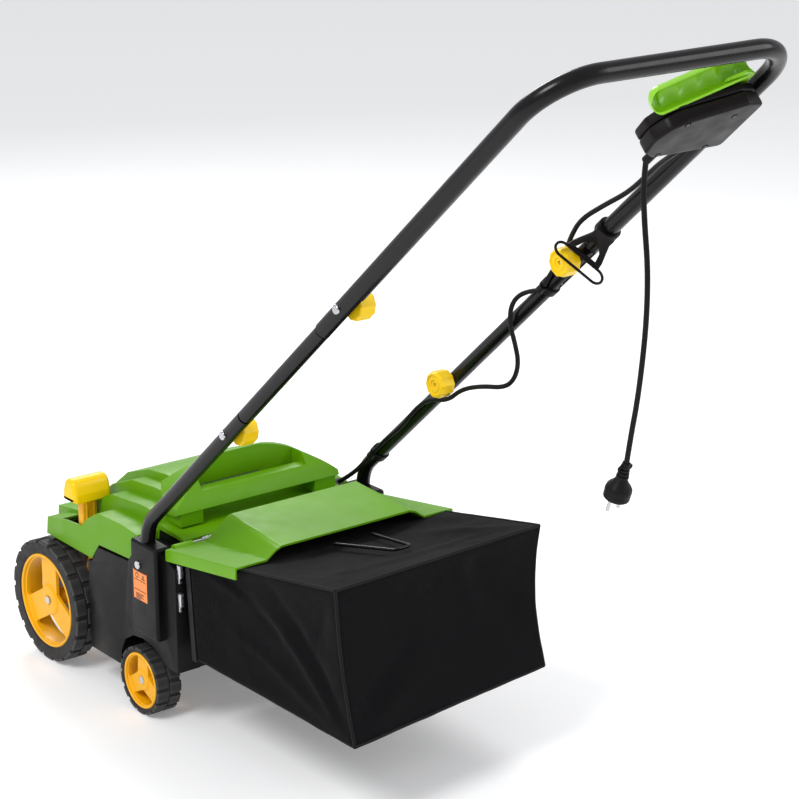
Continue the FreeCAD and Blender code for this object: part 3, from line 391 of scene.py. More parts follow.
def inset(outline, amount):
    """Moves a closed outline inwards by an amount along its corners' own normals."""
    area = sum(p.x * q.y - q.x * p.y for p, q in zip(outline, outline[1:] + outline[:1]))
    sign = 1.0 if area > 0 else -1.0
    result = []
    for before, here, after in zip(outline[-1:] + outline[:-1], outline, outline[1:] + outline[:1]):
        first = (here - before).normalized()
        second = (after - here).normalized()
        normal = Vector((-(first.y + second.y), first.x + second.x))
        if normal.length < 1e-6:
            result.append(here.copy())
            continue
        normal.normalize()
        square = Vector((-first.y, first.x))
        result.append(here + normal * (sign * amount / max(0.55, normal.dot(square))))
    return result


def prism(outline, low, high, round_r=2.0, steps=4, order="yz"):
    """A closed block: an outline drawn in two axes, carried along the third, with rounded end edges."""
    form = bmesh.new()
    stations = [(low + round_r * (1 - cos(pi / 2 * k / steps)), round_r * (1 - sin(pi / 2 * k / steps)))
                for k in range(steps + 1)]
    stations += [(high - (place - low), inward) for place, inward in reversed(stations)]
    rings = []
    for place, inward in stations:
        shape = inset(outline, inward) if inward > 1e-6 else outline
        if order == "yz":
            rings.append([form.verts.new((place, point.x, point.y)) for point in shape])
        else:
            rings.append([form.verts.new((point.x, point.y, place)) for point in shape])
    bridge(form, rings)
    return form


def lathe(profile, count=96, wobble=None):
    """A body of revolution about X from (x, radius) points; a closed profile makes a ring."""
    form = bmesh.new()
    rings = []
    for step in range(count):
        angle = 2 * pi * step / count
        ring = []
        for x, radius in profile:
            far = radius + (wobble(x, radius, angle) if wobble else 0.0)
            ring.append(form.verts.new((x, far * cos(angle), far * sin(angle))))
        rings.append(ring)
    for step in range(count):
        ring = rings[step]
        following = rings[(step + 1) % count]
        for index in range(len(profile)):
            after = (index + 1) % len(profile)
            form.faces.new((ring[index], following[index], following[after], ring[after]))
    return form


def joined(first, second):
    """Adds every vertex and face of the second form to the first."""
    spare = bpy.data.meshes.new("spare")
    second.to_mesh(spare)
    second.free()
    first.from_mesh(spare)
    bpy.data.meshes.remove(spare)
    return first


def plate(outlines, thick, bevel):
    """A flat plate with holes and eased edges, in its own XY plane, centred on it."""
    curve = bpy.data.curves.new("plate", "CURVE")
    curve.dimensions = "2D"
    curve.fill_mode = "BOTH"
    curve.extrude = max(0.0, 0.5 * thick - bevel)
    curve.bevel_depth = bevel
    curve.bevel_resolution = 2
    curve.offset = -bevel
    for outline in outlines:
        spline = curve.splines.new("POLY")
        spline.points.add(len(outline) - 1)
        for point, (a, b) in zip(spline.points, outline):
            point.co = (a, b, 0, 1)
        spline.use_cyclic_u = True
    holder = bpy.data.objects.new("plate", curve)
    bpy.context.collection.objects.link(holder)
    mesh = evaluated(holder)
    form = bmesh.new()
    form.from_mesh(mesh)
    bmesh.ops.remove_doubles(form, verts=form.verts, dist=1e-4)
    bpy.data.objects.remove(holder)
    bpy.data.meshes.remove(mesh)
    return form


def cut_away(name, main, cutters, matrix):
    """The main form less the cutters, by exact booleans, moved by the matrix."""
    target = bpy.data.objects.new(name, from_bmesh(name, main))
    bpy.context.collection.objects.link(target)
    spares = [target]
    for form in cutters:
        tool = bpy.data.objects.new("tool", from_bmesh("tool", form))
        bpy.context.collection.objects.link(tool)
        spares.append(tool)
        modifier = target.modifiers.new("cut", "BOOLEAN")
        modifier.operation = "DIFFERENCE"
        modifier.solver = "EXACT"
        modifier.object = tool
    mesh = evaluated(target)
    mesh.transform(matrix)
    for item in spares:
        bpy.data.objects.remove(item)
    return mesh


def block(x0, x1, y0, y1, z0, z1, round_r=3.0):
    """A box with every edge rounded."""
    corners = [(y0, z0, round_r), (y1, z0, round_r), (y1, z1, round_r), (y0, z1, round_r)]
    return prism(rounded_corners(corners, 4), x0, x1, round_r)


# ---- cords -------------------------------------------------------------------------------

def nurbs(name, points, resolution):
    """A smooth curve with the route's points as its control points."""
    data = bpy.data.curves.new(name, "CURVE")
    data.dimensions = "3D"
    data.resolution_u = resolution
    spline = data.splines.new("NURBS")
    spline.points.add(len(points) - 1)
    for place, point in zip(spline.points, points):
        place.co = (*point, 1)
    spline.order_u = 3
    spline.use_endpoint_u = True
    return data


def cord_line(points):
    """Points along the smooth line of a route, for the pieces that follow it."""
    holder = bpy.data.objects.new("line", nurbs("line", points, 12))
    bpy.context.collection.objects.link(holder)
    line = [vertex.co.copy() for vertex in evaluated(holder).vertices]
    bpy.data.objects.remove(holder)
    return line


def tube(line, radius, sides, side):
    """A round tube along a smooth line, starting from the given side of it."""
    form = bmesh.new()
    rings = []
    for index, point in enumerate(line):
        ahead = (line[min(index + 1, len(line) - 1)] - line[max(index - 1, 0)]).normalized()
        side = (side - ahead * side.dot(ahead)).normalized()
        up = ahead.cross(side)
        turns = [2 * pi * k / sides for k in range(sides)]
        rings.append([form.verts.new(point + radius * (cos(turn) * side + sin(turn) * up)) for turn in turns])
    bridge(form, rings)
    return form


LOWER_CABLE = [
    P(-178, 262, 290), P(-182, 291, 309), on_slope(-185.5, 34, -1), on_slope(-185.5, 97, 2),
    on_slope(-185.7, 152, -2), on_slope(-185.7, 200, 3), on_slope(-186.2, 243, 0), on_slope(-186, 281, -24),
    on_slope(-184, 325, -27), on_slope(-182, 372, -46), on_slope(-181, 418, -73), on_slope(-181, 446, -75),
    on_slope(-181, 471, -61), on_slope(-182, 482, -34), on_slope(-183, 489, -5), on_slope(-184, 512, 16),
    on_slope(-185, 546, 15), on_slope(-185.5, 573.4, 0.8)]
UPPER_CABLE = [
    on_slope(-185.5, 588.4, 0.4), on_slope(-188, 618, 9.5), on_slope(-197, 648, 19), on_slope(-186, 682, 25),
    on_slope(-176, 725, 28), on_slope(-175, 779, 18), on_slope(-174, 832, 6), on_slope(-168, 880, 2),
    on_slope(-152, 930, -6), on_slope(-136, 975, -18), on_slope(-132, 1009.5, -22)]
MAINS_CORD = [
    on_slope(-75, 985, -25), P(-76, 1042, 930), P(-76, 1046, 882), P(-75, 1056, 824), P(-74, 1058, 762),
    P(-75, 1052, 701), P(-76, 1043, 641), P(-75.5, 1034.5, 597), P(-75, 1028, 556)]


def line_length(line):
    """The length of a line of points."""
    return sum((b - a).length for a, b in zip(line, line[1:]))


def add_cables():
    """Both stretches of the motor cable, each a round sheath along its route, baked in place."""
    for name, route, bodies, ends in (
            ("motor_cable_lower", LOWER_CABLE, ("chassis", "middle_tubes"), (243, 340)),
            ("motor_cable_upper", UPPER_CABLE, ("middle_tubes", "upper_handle"), (618, 725))):
        line = cord_line(route)
        mesh = from_bmesh(f"{name}_sheath", tube(line, 3.5 * MM, 14, Vector((1, 0, 0))))
        piece = add_piece(f"{name}_sheath", mesh, "sheath", None, (name,), 60)
        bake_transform(piece)


def add_mains_cord():
    """The mains cord, from its strain relief down to the plug."""
    data = nurbs("mains_cord_sheath", MAINS_CORD, 10)
    data.bevel_depth = 0.5 * 0.0075
    data.bevel_resolution = 6
    data.use_fill_caps = True
    data.materials.append(PAINTS["sheath"])
    cord = bpy.data.objects.new("mains_cord_sheath", data)
    bpy.context.collection.objects.link(cord)
    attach(cord, "upper_handle")
    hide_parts("mains_cord")
    line_length(cord_line(MAINS_CORD))


# ---- wheels ------------------------------------------------------------------------------

def tread_mesh(outer, depth, half, inner, lugs):
    """A ring tyre about X with two staggered rows of square lugs standing on its crown."""
    profile = [(-half + 2, inner), (-half, inner + 3), (-half, outer - depth - 2), (-half + 2.5, outer - depth),
               (half - 2.5, outer - depth), (half, outer - depth - 2), (half, inner + 3), (half - 2, inner)]
    form = lathe(profile, 120)
    pitch = 2 * pi / lugs
    rows = ((-half, -1.4, 0.0), (1.4, half, 0.5))
    for low, high, shift in rows:
        for lug in range(lugs):
            centre = (lug + shift) * pitch
            wide = 0.37 * pitch
            corners = []
            for radius, pull in ((outer - depth - 1.5, 0.0), (outer - 1.0, 0.0), (outer, 1.0)):
                for x in (low + pull, high - pull):
                    for step in (-1, -0.34, 0.34, 1):
                        angle = centre + step * (wide - pull / outer)
                        corners.append(form.verts.new((x, radius * cos(angle), radius * sin(angle))))
            layers = [[corners[base + k] for k in (0, 1, 2, 3, 7, 6, 5, 4)] for base in (0, 8, 16)]
            for lower, upper in zip(layers, layers[1:]):
                for k in range(8):
                    after = (k + 1) % 8
                    form.faces.new((lower[k], lower[after], upper[after], upper[k]))
            top = layers[-1]
            for k in range(3):
                form.faces.new((top[k], top[k + 1], top[6 - k], top[7 - k]))
            under = layers[0]
            for k in range(3):
                form.faces.new((under[k], under[7 - k], under[6 - k], under[k + 1]))
    return form


def sector_window(vertex, arc, half_spoke, middle, x0, x1):
    """The tool for one opening between two spokes: two parallel-sided edges and an arc."""
    points = []
    first = radians(middle - 60)
    last = radians(middle + 60)
    near = Vector((cos(radians(middle)), sin(radians(middle)))) * vertex
    for angle in (first, last):
        spoke = Vector((cos(angle), sin(angle)))
        side = Vector((-spoke.y, spoke.x)) * (half_spoke if angle == first else -half_spoke)
        run = sqrt(arc ** 2 - half_spoke ** 2)
        points.append(spoke * run + side)
    start = atan2(points[0].y, points[0].x)
    end = atan2(points[1].y, points[1].x)
    while end < start:
        end += 2 * pi
    outline = [(near.x, near.y, 4.0), (points[0].x, points[0].y, 5.0)]
    for step in range(1, 12):
        angle = start + (end - start) * step / 12
        outline.append((arc * cos(angle), arc * sin(angle), 0.0))
    outline.append((points[1].x, points[1].y, 5.0))
    return prism(rounded_corners(outline, 4), x0, x1, 0.4, 2)


def rim_mesh(name, rim, half, dish, spoke_half, vertex, arc, hub, middle, side):
    """A dished wheel with three broad spokes, a rolled lip and a capped hub; its face is toward +X."""
    lip = half - 0.8
    deep = half - dish
    profile = [(-half + 1, rim), (lip - 1.5, rim), (lip, rim - 1.2), (lip, rim - 3.2), (lip - 1.4, rim - 4.4),
               (deep + 3.0, arc + 1.6), (deep, arc - 2.5), (deep, hub + 3.0), (deep + 1.2, hub + 1.6),
               (deep + 2.6, hub), (deep + 3.2, hub - 1.5), (deep + 3.2, 9.0), (deep + 2.0, 8.0),
               (deep + 2.0, 6.2), (-half + 4, 6.2), (-half + 4, 16.0), (deep - 5.0, 17.5),
               (deep - 5.0, arc + 0.5), (-half + 1, rim - 5.0)]
    main = lathe(profile, 120)
    windows = [sector_window(vertex, arc, spoke_half, turn, -half - 5, half + 5) for turn in (30, 150, 270)]
    mesh = cut_away(name, main, windows, middle @ Matrix.Diagonal((side, 1, 1, 1)))
    if side < 0:
        mesh.flip_normals()
    return mesh


def add_wheels():
    """Four wheels, each a lugged tyre on a dished disc."""
    for label, y, z, outer, depth, x0, x1, rim, settings, lugs in (
            ("front", 0.0, 100.0, 100.0, 3.4, 176.0, 214.0, 77.0, (9.0, 21.5, 25.0, 70.5, 23.0), 18),
            ("rear", 267.0, 54.0, 54.0, 2.6, 166.0, 208.0, 44.5, (7.0, 12.5, 17.0, 39.0, 15.0), 14)):
        half = 0.5 * (x1 - x0)
        for side, hand in ((1, "left"), (-1, "right")):
            place = ground_frame(side * 0.5 * (x0 + x1), y, z)
            tyre = from_bmesh(f"{label}_tread_{hand}", tread_mesh(outer, depth, half, rim + 0.2, lugs), place)
            add_piece(f"{label}_tread_{hand}", tyre, "tyre", f"{label}_wheel_{hand}",
                      (f"{label}_tyre_{hand}",), 30)
            mesh = rim_mesh(f"{label}_disc_{hand}", rim, half, *settings, place, side)
            add_piece(f"{label}_disc_{hand}", mesh, "rim", f"{label}_wheel_{hand}",
                      (f"{label}_rim_{hand}",), 28)


# ---- knobs, lever, switch box and bail ---------------------------------------------------

def knob_mesh(place, side):
    """A ten-sided knob about X: flat facets, stepped rings on its face and a small centre hole."""
    count = 80
    form = bmesh.new()
    profile = [(-13, 7.0, 0), (-13, 18.5, 1), (-11.5, 20.4, 1), (9.5, 20.8, 1), (12.2, 19.2, 1),
               (13.0, 17.0, 0.6), (13.0, 15.2, 0), (11.2, 14.4, 0), (11.2, 11.4, 0), (12.4, 10.6, 0),
               (12.4, 7.6, 0), (10.6, 7.0, 0), (10.6, 3.2, 0), (4.0, 2.6, 0)]
    rings = []
    for x, radius, facet in profile:
        ring = []
        for step in range(count):
            angle = 2 * pi * step / count
            turn = (angle % (pi / 5)) - pi / 10
            flat = cos(pi / 10) / cos(turn)
            waist = 1.0 - 0.02 * (1 - abs(turn) * 10 / pi) * facet
            factor = (1 - facet) + facet * max(flat, 0.952) * waist
            ring.append(form.verts.new((x, radius * factor * cos(angle), radius * factor * sin(angle))))
        rings.append(ring)
    bridge(form, rings)
    return from_bmesh("knob", form, place @ Matrix.Diagonal((side, 1, 1, 1)))


def add_knobs():
    """Four knobs, two on each side of the handle, with their faces towards the middle."""
    middle = 0.5 * (163.4 + 189.4)
    for level, along in (("lower", 295.3), ("upper", 658.2)):
        for side, hand in ((1, "left"), (-1, "right")):
            mesh = knob_mesh(slope_frame(side * middle, along), -side)
            if side > 0:
                mesh.flip_normals()
            add_piece(f"{level}_grip_{hand}", mesh, "yellow", f"knob_{level}_{hand}",
                      (f"{level}_knob_{hand}",), 25)


def add_lever():
    """The height lever: a ribbed stem and a loaf-shaped cap of one yellow plastic; the stem's orange is painted
    shade.
    """
    stem = block(162.5, 189.5, 72, 88, 212, 288, 3)
    for x in (169.5, 182.5):
        stem = joined(stem, block(x - 1.6, x + 1.6, 70.2, 90, 216, 286, 1.2))
    stem = joined(stem, lever_blade())
    mesh = from_bmesh("lever_stem", stem, ground_frame())
    # The stem takes the orange paint as painted shade: it is the cap's yellow plastic, darker where less lit.
    piece = add_piece("lever_stem", mesh, "rim", "front_crank")
    corners = [(61, 289.5, 3), (99, 289.5, 3), (99, 304, 10), (93, 327, 16), (67, 327, 16), (61, 304, 10)]
    cap = prism(rounded_corners(corners, 8), 142.5, 209.5, 7.5, 8)
    mesh = from_bmesh("lever_cap", cap, ground_frame())
    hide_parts("height_lever")
    add_piece("lever_cap", mesh, "yellow", "front_crank", ("height_lever",), 40)


def lever_blade():
    """The flat arm between the lever's stem and its crank."""
    corners = [(38, 122, 6), (54, 124, 6), (86, 214, 3), (73, 214, 3)]
    return prism(rounded_corners(corners, 4), 162.2, 167.8, 1.0)


# The switch box from above, and its screws.
PLAN = [(-181, 1008, 9), (-181, 1106, 7), (-152, 1112, 8), (-62, 1090, 12), (-44, 1079, 14), (-33, 1056, 16),
        (-38, 1024, 14), (-62, 1008, 10)]
SCREWS = [(-67, 1015), (-148, 1015), (-144, 1086), (-66, 1084)]


def ring_of(x, y, radius, count=24):
    """Points around a circle."""
    return [Vector((x + radius * cos(2 * pi * k / count), y + radius * sin(2 * pi * k / count)))
            for k in range(count)]


def add_switch_box():
    """The switch box: two shells with a parting line and four screw wells."""
    outline = rounded_corners(PLAN, 6)
    base = slope_frame()
    room = lathe([(-160, 20.0), (160, 20.0), (160, 0.01), (-160, 0.01)], 64)
    room.transform(Matrix.Translation((-93, 1111, 5)) @ Matrix.Rotation(radians(-17), 4, "Z"))
    lower = prism(outline, -35.0, -15.4, 4.0, 5, "xy")
    wells = [prism(ring_of(x, y, 4.6), -37, -31.5, 0.3, 2, "xy") for x, y in SCREWS]
    mesh = cut_away("switch_shell_lower", lower, wells + [room.copy()], base)
    add_piece("switch_shell_lower", mesh, "charcoal", "upper_handle", ("switch_box_lower",), 30)
    upper = prism(inset(outline, 0.8), -14.9, -1.0, 3.5, 5, "xy")
    mesh = cut_away("switch_shell_upper", upper, [room], base)
    add_piece("switch_shell_upper", mesh, "charcoal", "upper_handle", ("switch_box_upper",), 30)


def add_bail():
    """The bail: a long trough with a rolled lip, four finger scallops and a web at its pivot."""
    start = Vector((-165.0, 1133.0, 12.0))
    end = Vector((-22.0, 1089.0, -2.0))
    long = (end - start).length
    ahead = (end - start).normalized()
    opening = Vector((0.0, 0.67, -0.74))
    opening = (opening - ahead * opening.dot(ahead)).normalized()
    across = ahead.cross(opening)
    form = bmesh.new()
    stations = 72
    shell = []
    for step in range(stations + 1):
        share = step / stations
        tip = max(0.0, (share - 0.90) / 0.10)
        root = max(0.0, (0.07 - share) / 0.07)
        fall = sqrt(max(0.0, 1 - tip ** 2)) * sqrt(max(0.0, 1 - 0.5 * root ** 2))
        fall = max(fall, 0.06)
        scallop = 0.5 - 0.5 * cos(2 * pi * (share - 0.12) / 0.19) if 0.12 < share < 0.88 else 0.0
        ring = []
        for side, radius in ((1, 18.6), (-1, 15.4)):
            order = range(0, 25) if side > 0 else range(24, -1, -1)
            for k in order:
                angle = radians(-8 + 196 * k / 24) + pi
                reach = radius * fall
                if side < 0 and 4 < k < 22 and 0.12 < share < 0.88:
                    reach -= 3.4 * (1 - scallop) ** 2 * sin(pi * (k - 4) / 18)
                point = start + ahead * (share * long)
                point = point + across * (reach * cos(angle)) + opening * (reach * sin(angle))
                ring.append(form.verts.new(point))
        shell.append(ring)
    for ring, following in zip(shell, shell[1:]):
        for k in range(len(ring)):
            after = (k + 1) % len(ring)
            form.faces.new((ring[k], following[k], following[after], ring[after]))
    form.faces.new(shell[0])
    form.faces.new(list(reversed(shell[-1])))
    web = [(-177, 1076, 6), (-177, 1122, 8), (-156, 1128, 6), (-126, 1112, 10), (-153, 1080, 8)]
    form = joined(form, prism(rounded_corners(web, 6), 0.5, 3.9, 1.0, 3, "xy"))
    mesh = from_bmesh("bail_trough", form, slope_frame())
    add_piece("bail_trough", mesh, "bail", "bail", ("bail_lever",), 40)


# ---- hood, deck, flap and hook -----------------------------------------------------------

def eased_copy(node, name, paint, width, segments=3, sharp=24, body="chassis"):
    """A copy of a CAD node's shape with its hard edges rounded over, as a moulding's are."""
    form = bmesh.new()
    form.from_mesh(nodes[node].data)
    bmesh.ops.remove_doubles(form, verts=form.verts, dist=2e-5)
    bmesh.ops.dissolve_limit(form, angle_limit=radians(1.0), verts=form.verts, edges=form.edges)
    mesh = bpy.data.meshes.new(name)
    form.to_mesh(mesh)
    form.free()
    piece = bpy.data.objects.new(name, mesh)
    bpy.context.collection.objects.link(piece)
    bevel = piece.modifiers.new("ease", "BEVEL")
    bevel.width = width * MM
    bevel.segments = segments
    bevel.limit_method = "ANGLE"
    bevel.angle_limit = radians(sharp)
    bevel.use_clamp_overlap = True
    bevel.miter_outer = "MITER_ARC"
    eased = evaluated(piece)
    bpy.data.objects.remove(piece)
    return add_piece(name, eased, paint, body, (node,), 32)


def flap_section(y):
    """The closed outline across the flap at one distance back: skin, side skirts and underside."""
    base = 288 + (y - 338) * (28 / 183)
    high = 341 - (y - 388) * (9.5 / 133) - base
    foot = 137 + 7 * (y - 350) / 171
    brow = 117 + 5 * (y - 388) / 133
    ramp = 47.0 * (y - 350) / 38

    def top(x):
        side = high * (foot - abs(x)) / (foot - brow)
        rise = min(high, ramp, side)
        soft = 2.2
        for other in sorted((high, ramp, side))[1:]:
            rise -= soft * max(0.0, 1 - (other - rise) / (2 * soft)) ** 2
        rise = max(rise, 0.0)
        return base + rise

    count = 180
    across = [199 - 2 * 199 * k / count for k in range(count + 1)]
    upper = [(199.0, base - 18), (199.0, base - 3)]
    upper += [(x, top(x) - (1.4 if abs(x) > 198.9 else 0.0)) for x in across]
    upper += [(-199.0, base - 3), (-199.0, base - 18)]
    lower = [(-196.4, base - 18), (-196.4, base - 4)]
    lower += [(x, top(x) - 3.0) for x in reversed([x for x in across if abs(x) < 195])]
    lower += [(196.4, base - 4), (196.4, base - 18)]
    return upper + lower


def add_flap():
    """The rear flap: a lofted skin and the four knuckles that it hangs from."""
    form = bmesh.new()
    rings = []
    for step in range(111):
        y = 338 + (521 - 338) * step / 110
        rings.append([form.verts.new((x, y, z)) for x, z in flap_section(y)])
    bridge(form, rings)
    for x in (-170, -60, 60, 170):
        knuckle = lathe([(x - 16, 7.5), (x + 16, 7.5), (x + 16, 2.9), (x - 16, 2.9)], 32)
        knuckle.transform(Matrix.Translation((0, 341, 286)))
        form = joined(form, knuckle)
    mesh = from_bmesh("rear_flap_skin", form, ground_frame())
    add_piece("rear_flap_skin", mesh, "lime", "rear_flap", ("rear_flap",), 24)


# ---- the catching bag --------------------------------------------------------------------

BAG_CORNERS = {  # (side, back, up) to x, y, z
    (1, 0, 1): (187, 386, 288), (-1, 0, 1): (-187, 386, 288),
    (1, 1, 1): (188, 744, 351), (-1, 1, 1): (-188, 735, 356),
    (1, 0, 0): (186, 399, 128), (-1, 0, 0): (-186, 399, 128),
    (1, 1, 0): (188, 786, 132), (-1, 1, 0): (-188, 752, 140)}


def bag_point(a, b, c):
    """A point of the bag: a runs from right (-1) to left (1), b from front to back, c from floor to top."""
    total = Vector((0, 0, 0))
    for (side, back, up), corner in BAG_CORNERS.items():
        weight = 0.5 * (1 + side * a) * (b if back else 1 - b) * (c if up else 1 - c)
        total += weight * Vector(corner)
    slack = b * sin(pi * c)
    return total + Vector((-4.0 * a * slack, -13.0 * slack, 0.0))


def crease(u, v, u0, v0, u1, v1, wide, deep):
    """How deep a fold along the line from (u0, v0) to (u1, v1) is at (u, v)."""
    line = Vector((u1 - u0, v1 - v0))
    spot = Vector((u - u0, v - v0))
    share = min(1.0, max(0.0, spot.dot(line) / line.length_squared))
    off = (spot - line * share).length
    return deep * sin(pi * min(1, 0.15 + 0.85 * share)) ** 0.7 * bell(off / wide)


def bell(t):
    """One at zero, and falling away smoothly on both sides."""
    return 1.0 / (1.0 + t * t) ** 2


def bag_fold(face, u, v):
    """Outward displacement in millimetres of one panel at its own two coordinates, each from 0 to 1."""
    hollow = (sin(pi * u) * sin(pi * v)) ** 0.8
    if face == "side":  # u goes back, v up
        push = -10.0 * hollow
        push += (crease(u, v, 1.0, 0.02, 0.42, 0.80, 0.05, 7.0)
                 - crease(u, v, 0.97, 0.12, 0.50, 0.95, 0.06, 7.0))
        push += (crease(u, v, 0.90, 0.05, 0.20, 0.45, 0.05, 5.0)
                 - crease(u, v, 0.55, 0.52, 0.20, 0.92, 0.05, 5.0))
        push += (crease(u, v, 0.08, 0.90, 0.52, 0.60, 0.04, 5.0)
                 - crease(u, v, 0.80, 0.55, 0.96, 0.90, 0.04, 5.0))
    elif face == "rear":  # u goes from the left side to the right, v up
        push = -9.0 * hollow
        push += (crease(u, v, 0.0, 0.03, 0.45, 0.30, 0.05, 6.0)
                 - crease(u, v, 0.02, 0.10, 0.42, 0.55, 0.06, 7.0))
        push += (crease(u, v, 0.0, 0.95, 0.30, 0.62, 0.05, 5.0)
                 + crease(u, v, 0.60, 0.95, 0.72, 0.40, 0.04, 4.0))
        push -= (crease(u, v, 0.66, 0.90, 0.98, 0.18, 0.06, 5.0)
                 - crease(u, v, 0.98, 0.05, 0.62, 0.45, 0.05, 5.0))
    elif face == "top":  # u goes across, v back
        push = -9.0 * hollow * (0.4 + 0.6 * v)
        push += (crease(u, v, 0.02, 0.98, 0.35, 0.55, 0.05, 4.0)
                 + crease(u, v, 0.98, 0.98, 0.70, 0.50, 0.05, 4.0))
        push += crease(u, v, 0.10, 0.80, 0.90, 0.86, 0.04, 3.0)
    else:
        push = 5.0 * hollow
    return push


def add_bag():
    """The bag's cloth: five sewn panels that sag between their seams, with bound edges."""
    form = bmesh.new()
    across, back, up = 88, 92, 52

    def panel(face, nu, nv, where, outward):
        grid = []
        for i in range(nu + 1):
            row = []
            for j in range(nv + 1):
                u, v = i / nu, j / nv
                place = where(u, v)
                flutter = 2.6 * noise.noise(place * 0.017 + outward * 3.1) + 1.1 * noise.noise(place * 0.051)
                edge = min(1.0, 9 * min(u, 1 - u, v, 1 - v))
                row.append(form.verts.new(place + outward * (bag_fold(face, u, v) * edge + flutter * edge)))
            grid.append(row)
        for i in range(nu):
            for j in range(nv):
                form.faces.new((grid[i][j], grid[i + 1][j], grid[i + 1][j + 1], grid[i][j + 1]))

    panel("side", back, up, lambda u, v: bag_point(1, u, v), Vector((1, 0, 0)))
    panel("side", back, up, lambda u, v: bag_point(-1, u, v), Vector((-1, 0, 0)))
    panel("rear", across, up, lambda u, v: bag_point(1 - 2 * u, 1, v), Vector((0, 1, 0.15)))
    panel("top", across, back, lambda u, v: bag_point(1 - 2 * u, v, 1), Vector((0, 0, 1)))
    panel("floor", across, back, lambda u, v: bag_point(1 - 2 * u, v, 0), Vector((0, 0, -1)))
    bmesh.ops.remove_doubles(form, verts=form.verts, dist=0.05)
    rim = {vert for edge in form.edges if edge.is_boundary for vert in edge.verts}
    inner = [vert for vert in form.verts if vert not in rim]
    for _ in range(5):
        bmesh.ops.smooth_vert(form, verts=inner, factor=0.5, use_axis_x=True, use_axis_y=True, use_axis_z=True)
    mesh = from_bmesh("bag_cloth", form, ground_frame())
    cloth = add_piece("bag_cloth", mesh, "mesh", "bag", ("bag_mesh",), 60)
    thick = cloth.modifiers.new("cloth", "SOLIDIFY")
    thick.thickness = 0.9 * MM
    thick.offset = -1.0
    add_seams()


def add_seams():
    """Round bindings along eight of the bag's sewn edges, just inside the corners of the cloth."""
    runs = [((1, 0, 1), (1, 1, 1)), ((-1, 0, 1), (-1, 1, 1)), ((1, 1, 1), (-1, 1, 1)), ((1, 1, 0), (1, 1, 1)),
            ((-1, 1, 0), (-1, 1, 1)), ((1, 1, 0), (-1, 1, 0)), ((1, 0, 0), (1, 1, 0)), ((-1, 0, 0), (-1, 1, 0))]
    centre = bag_point(0, 0.5, 0.5)
    form = bmesh.new()
    for first, last in runs:
        line = []
        for step in range(41):
            a, b, c = Vector(first).lerp(Vector(last), step / 40)
            place = bag_point(a, b, c)
            inward = (centre - place).normalized()
            wave = 0.8 * noise.noise(place * 0.03)
            line.append(place + inward * (2.6 + wave))
        form = joined(form, tube(line, 2.3, 8, Vector((0.31, 0.22, 0.93))))
    mesh = from_bmesh("bag_binding", form, ground_frame())
    add_piece("bag_binding", mesh, "tape", "bag", (), 60)


# ---- plug and label ----------------------------------------------------------------------

def add_plug():
    """The two-pin plug: a ringed grip, a flared shoulder and a notched body."""
    profile = [(0, 3.9), (0, 5.3), (3, 5.6)]
    for k in range(4):
        low = 5 + 5 * k
        wide = 5.8 + 0.7 * k
        profile += [(low, wide + 0.5), (low + 3, wide + 0.8), (low + 3.4, wide - 0.5), (low + 4.8, wide - 0.4)]
    profile += [(26, 8.4), (31, 11), (36, 15.5), (40, 18.0), (44, 18.45), (47, 18.2), (48, 17.4), (49.4, 17.4),
                (50, 18.1), (55, 18.0), (56, 17.0), (56, 0.01), (0, 0.01)]

    def notch(x, radius, angle):
        return -1.1 * max(0.0, cos(angle * 6)) ** 4 if 36 < x < 47 and radius > 9 else 0.0

    body = lathe(profile, 64, notch)
    for side in (-1, 1):
        ear = lathe([(-1.3, 4.6), (1.3, 4.6), (1.3, 2.7), (-1.3, 2.7)], 24)
        ear.transform(Matrix.Translation((8.0, side * 7.6, 0)) @ Matrix.Rotation(radians(90), 4, "Y"))
        body = joined(body, ear)
    way = Vector((0, -28, -83)).normalized()
    turn = way.to_track_quat("X", "Z").to_matrix().to_4x4()
    mesh = from_bmesh("plug_body", body, Matrix.Translation(P(-75, 1028, 556)) @ turn @ Matrix.Scale(MM, 4))
    return add_piece("plug_body", mesh, "sheath", "upper_handle", ("mains_plug",), 30)


def add_latch():
    """The bright catch tabs on the deck's rear edge that the bag's frame hangs behind."""
    form = None
    for side in (-1, 1):
        low, high = (189.5, 196.0) if side > 0 else (-196.0, -189.5)
        for bottom, top in ((250, 271), (205, 226)):
            tab = joined(block(low, high, 362.4, 371.0, bottom, top, 1.3),
                         block(low + 1, high - 1, 362.4, 367.0, bottom - 9, bottom + 4, 1.0))
            form = joined(form, tab) if form else tab
    mesh = from_bmesh("catch_tabs", form, ground_frame())
    add_piece("catch_tabs", mesh, "zinc", "chassis")


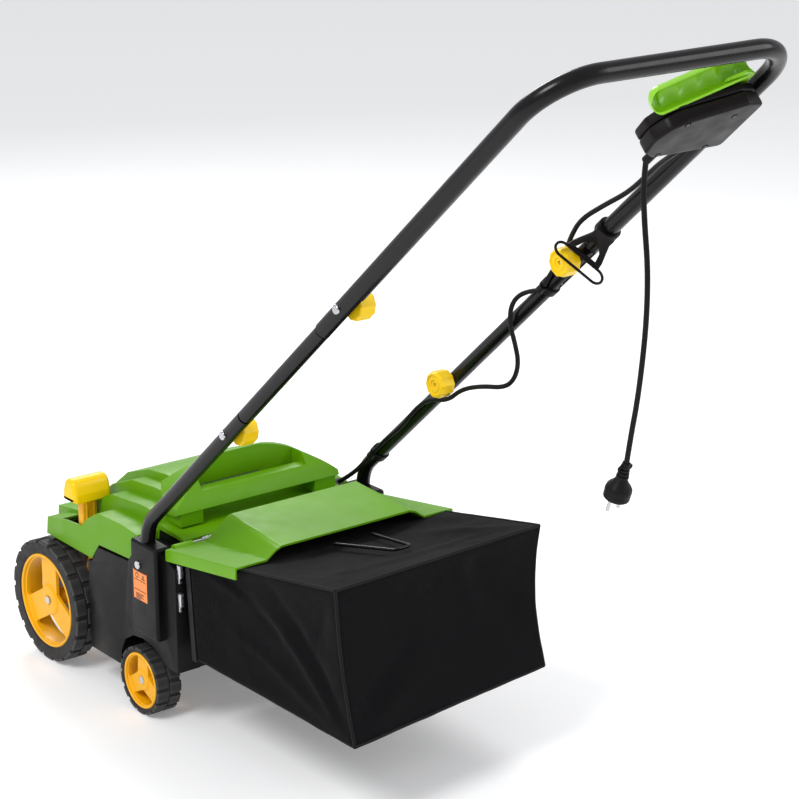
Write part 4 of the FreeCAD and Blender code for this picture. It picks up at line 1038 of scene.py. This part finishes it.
def add_label_marks():
    """Generic marks on the side label: a divided frame, a ring, a triangle and bars."""
    def bar(u, v, wide, tall):
        corners = [Vector((u, v)), Vector((u + wide, v)), Vector((u + wide, v + tall)), Vector((u, v + tall))]
        return prism(corners, 214.9, 215.25, 0.05, 1)

    form = bmesh.new()
    for v in (22, 8, -8):
        form = joined(form, bar(-16, v, 32, 0.9))
    ring = plate([ring_of(-8, 15.5, 4.2, 28), ring_of(-8, 15.5, 3.2, 28)], 0.3, 0.02)
    triangle = plate([[(4, 11.5), (13, 11.5), (8.5, 19.5)], [(6, 12.6), (11, 12.6), (8.5, 17.2)]], 0.3, 0.02)
    turned = Matrix(((0, 0, 1, 0), (1, 0, 0, 0), (0, 1, 0, 0), (0, 0, 0, 1)))
    upright = Matrix.Translation((215.05, 0, 0)) @ turned
    for item in (ring, triangle):
        item.transform(upright)
        form = joined(form, item)
    for k, wide in enumerate((22, 16, 20, 12)):
        form = joined(form, bar(-12, -13 - 2.6 * k, wide, -1.2))
    mesh = from_bmesh("label_marks", form, ground_frame(0, 290.5, 219))
    add_piece("label_marks", mesh, "ink", "chassis")


# ---- putting it together -----------------------------------------------------------------

def paint_frame_nodes():
    """Every CAD node gets the paint of its own slot, and the box's screws a darker one."""
    for item in nodes.values():
        for holder in item.material_slots:
            own = holder.material.name.split(".")[0] if holder.material else ""
            if own in PAINT_OF:
                holder.material = PAINTS[PAINT_OF[own]]
    for holder in nodes["box_screws"].material_slots:
        holder.material = PAINTS["oxide"]


add_surroundings()
add_camera()
paint_frame_nodes()
add_cables()
plug = add_plug()
add_mains_cord()
add_wheels()
add_knobs()
add_lever()
add_switch_box()
add_bail()
eased_copy("hood", "hood_skin", "lime", 5.0, 4)
eased_copy("carry_handle", "carry_grip", "lime", 6.0, 4, 30)
eased_copy("deck", "deck_skin", "black", 2.5, 2)
eased_copy("cord_hook", "cord_hook_clip", "charcoal", 0.8, 2, 30, "upper_handle")
add_flap()
add_bag()
add_label_marks()
add_latch()
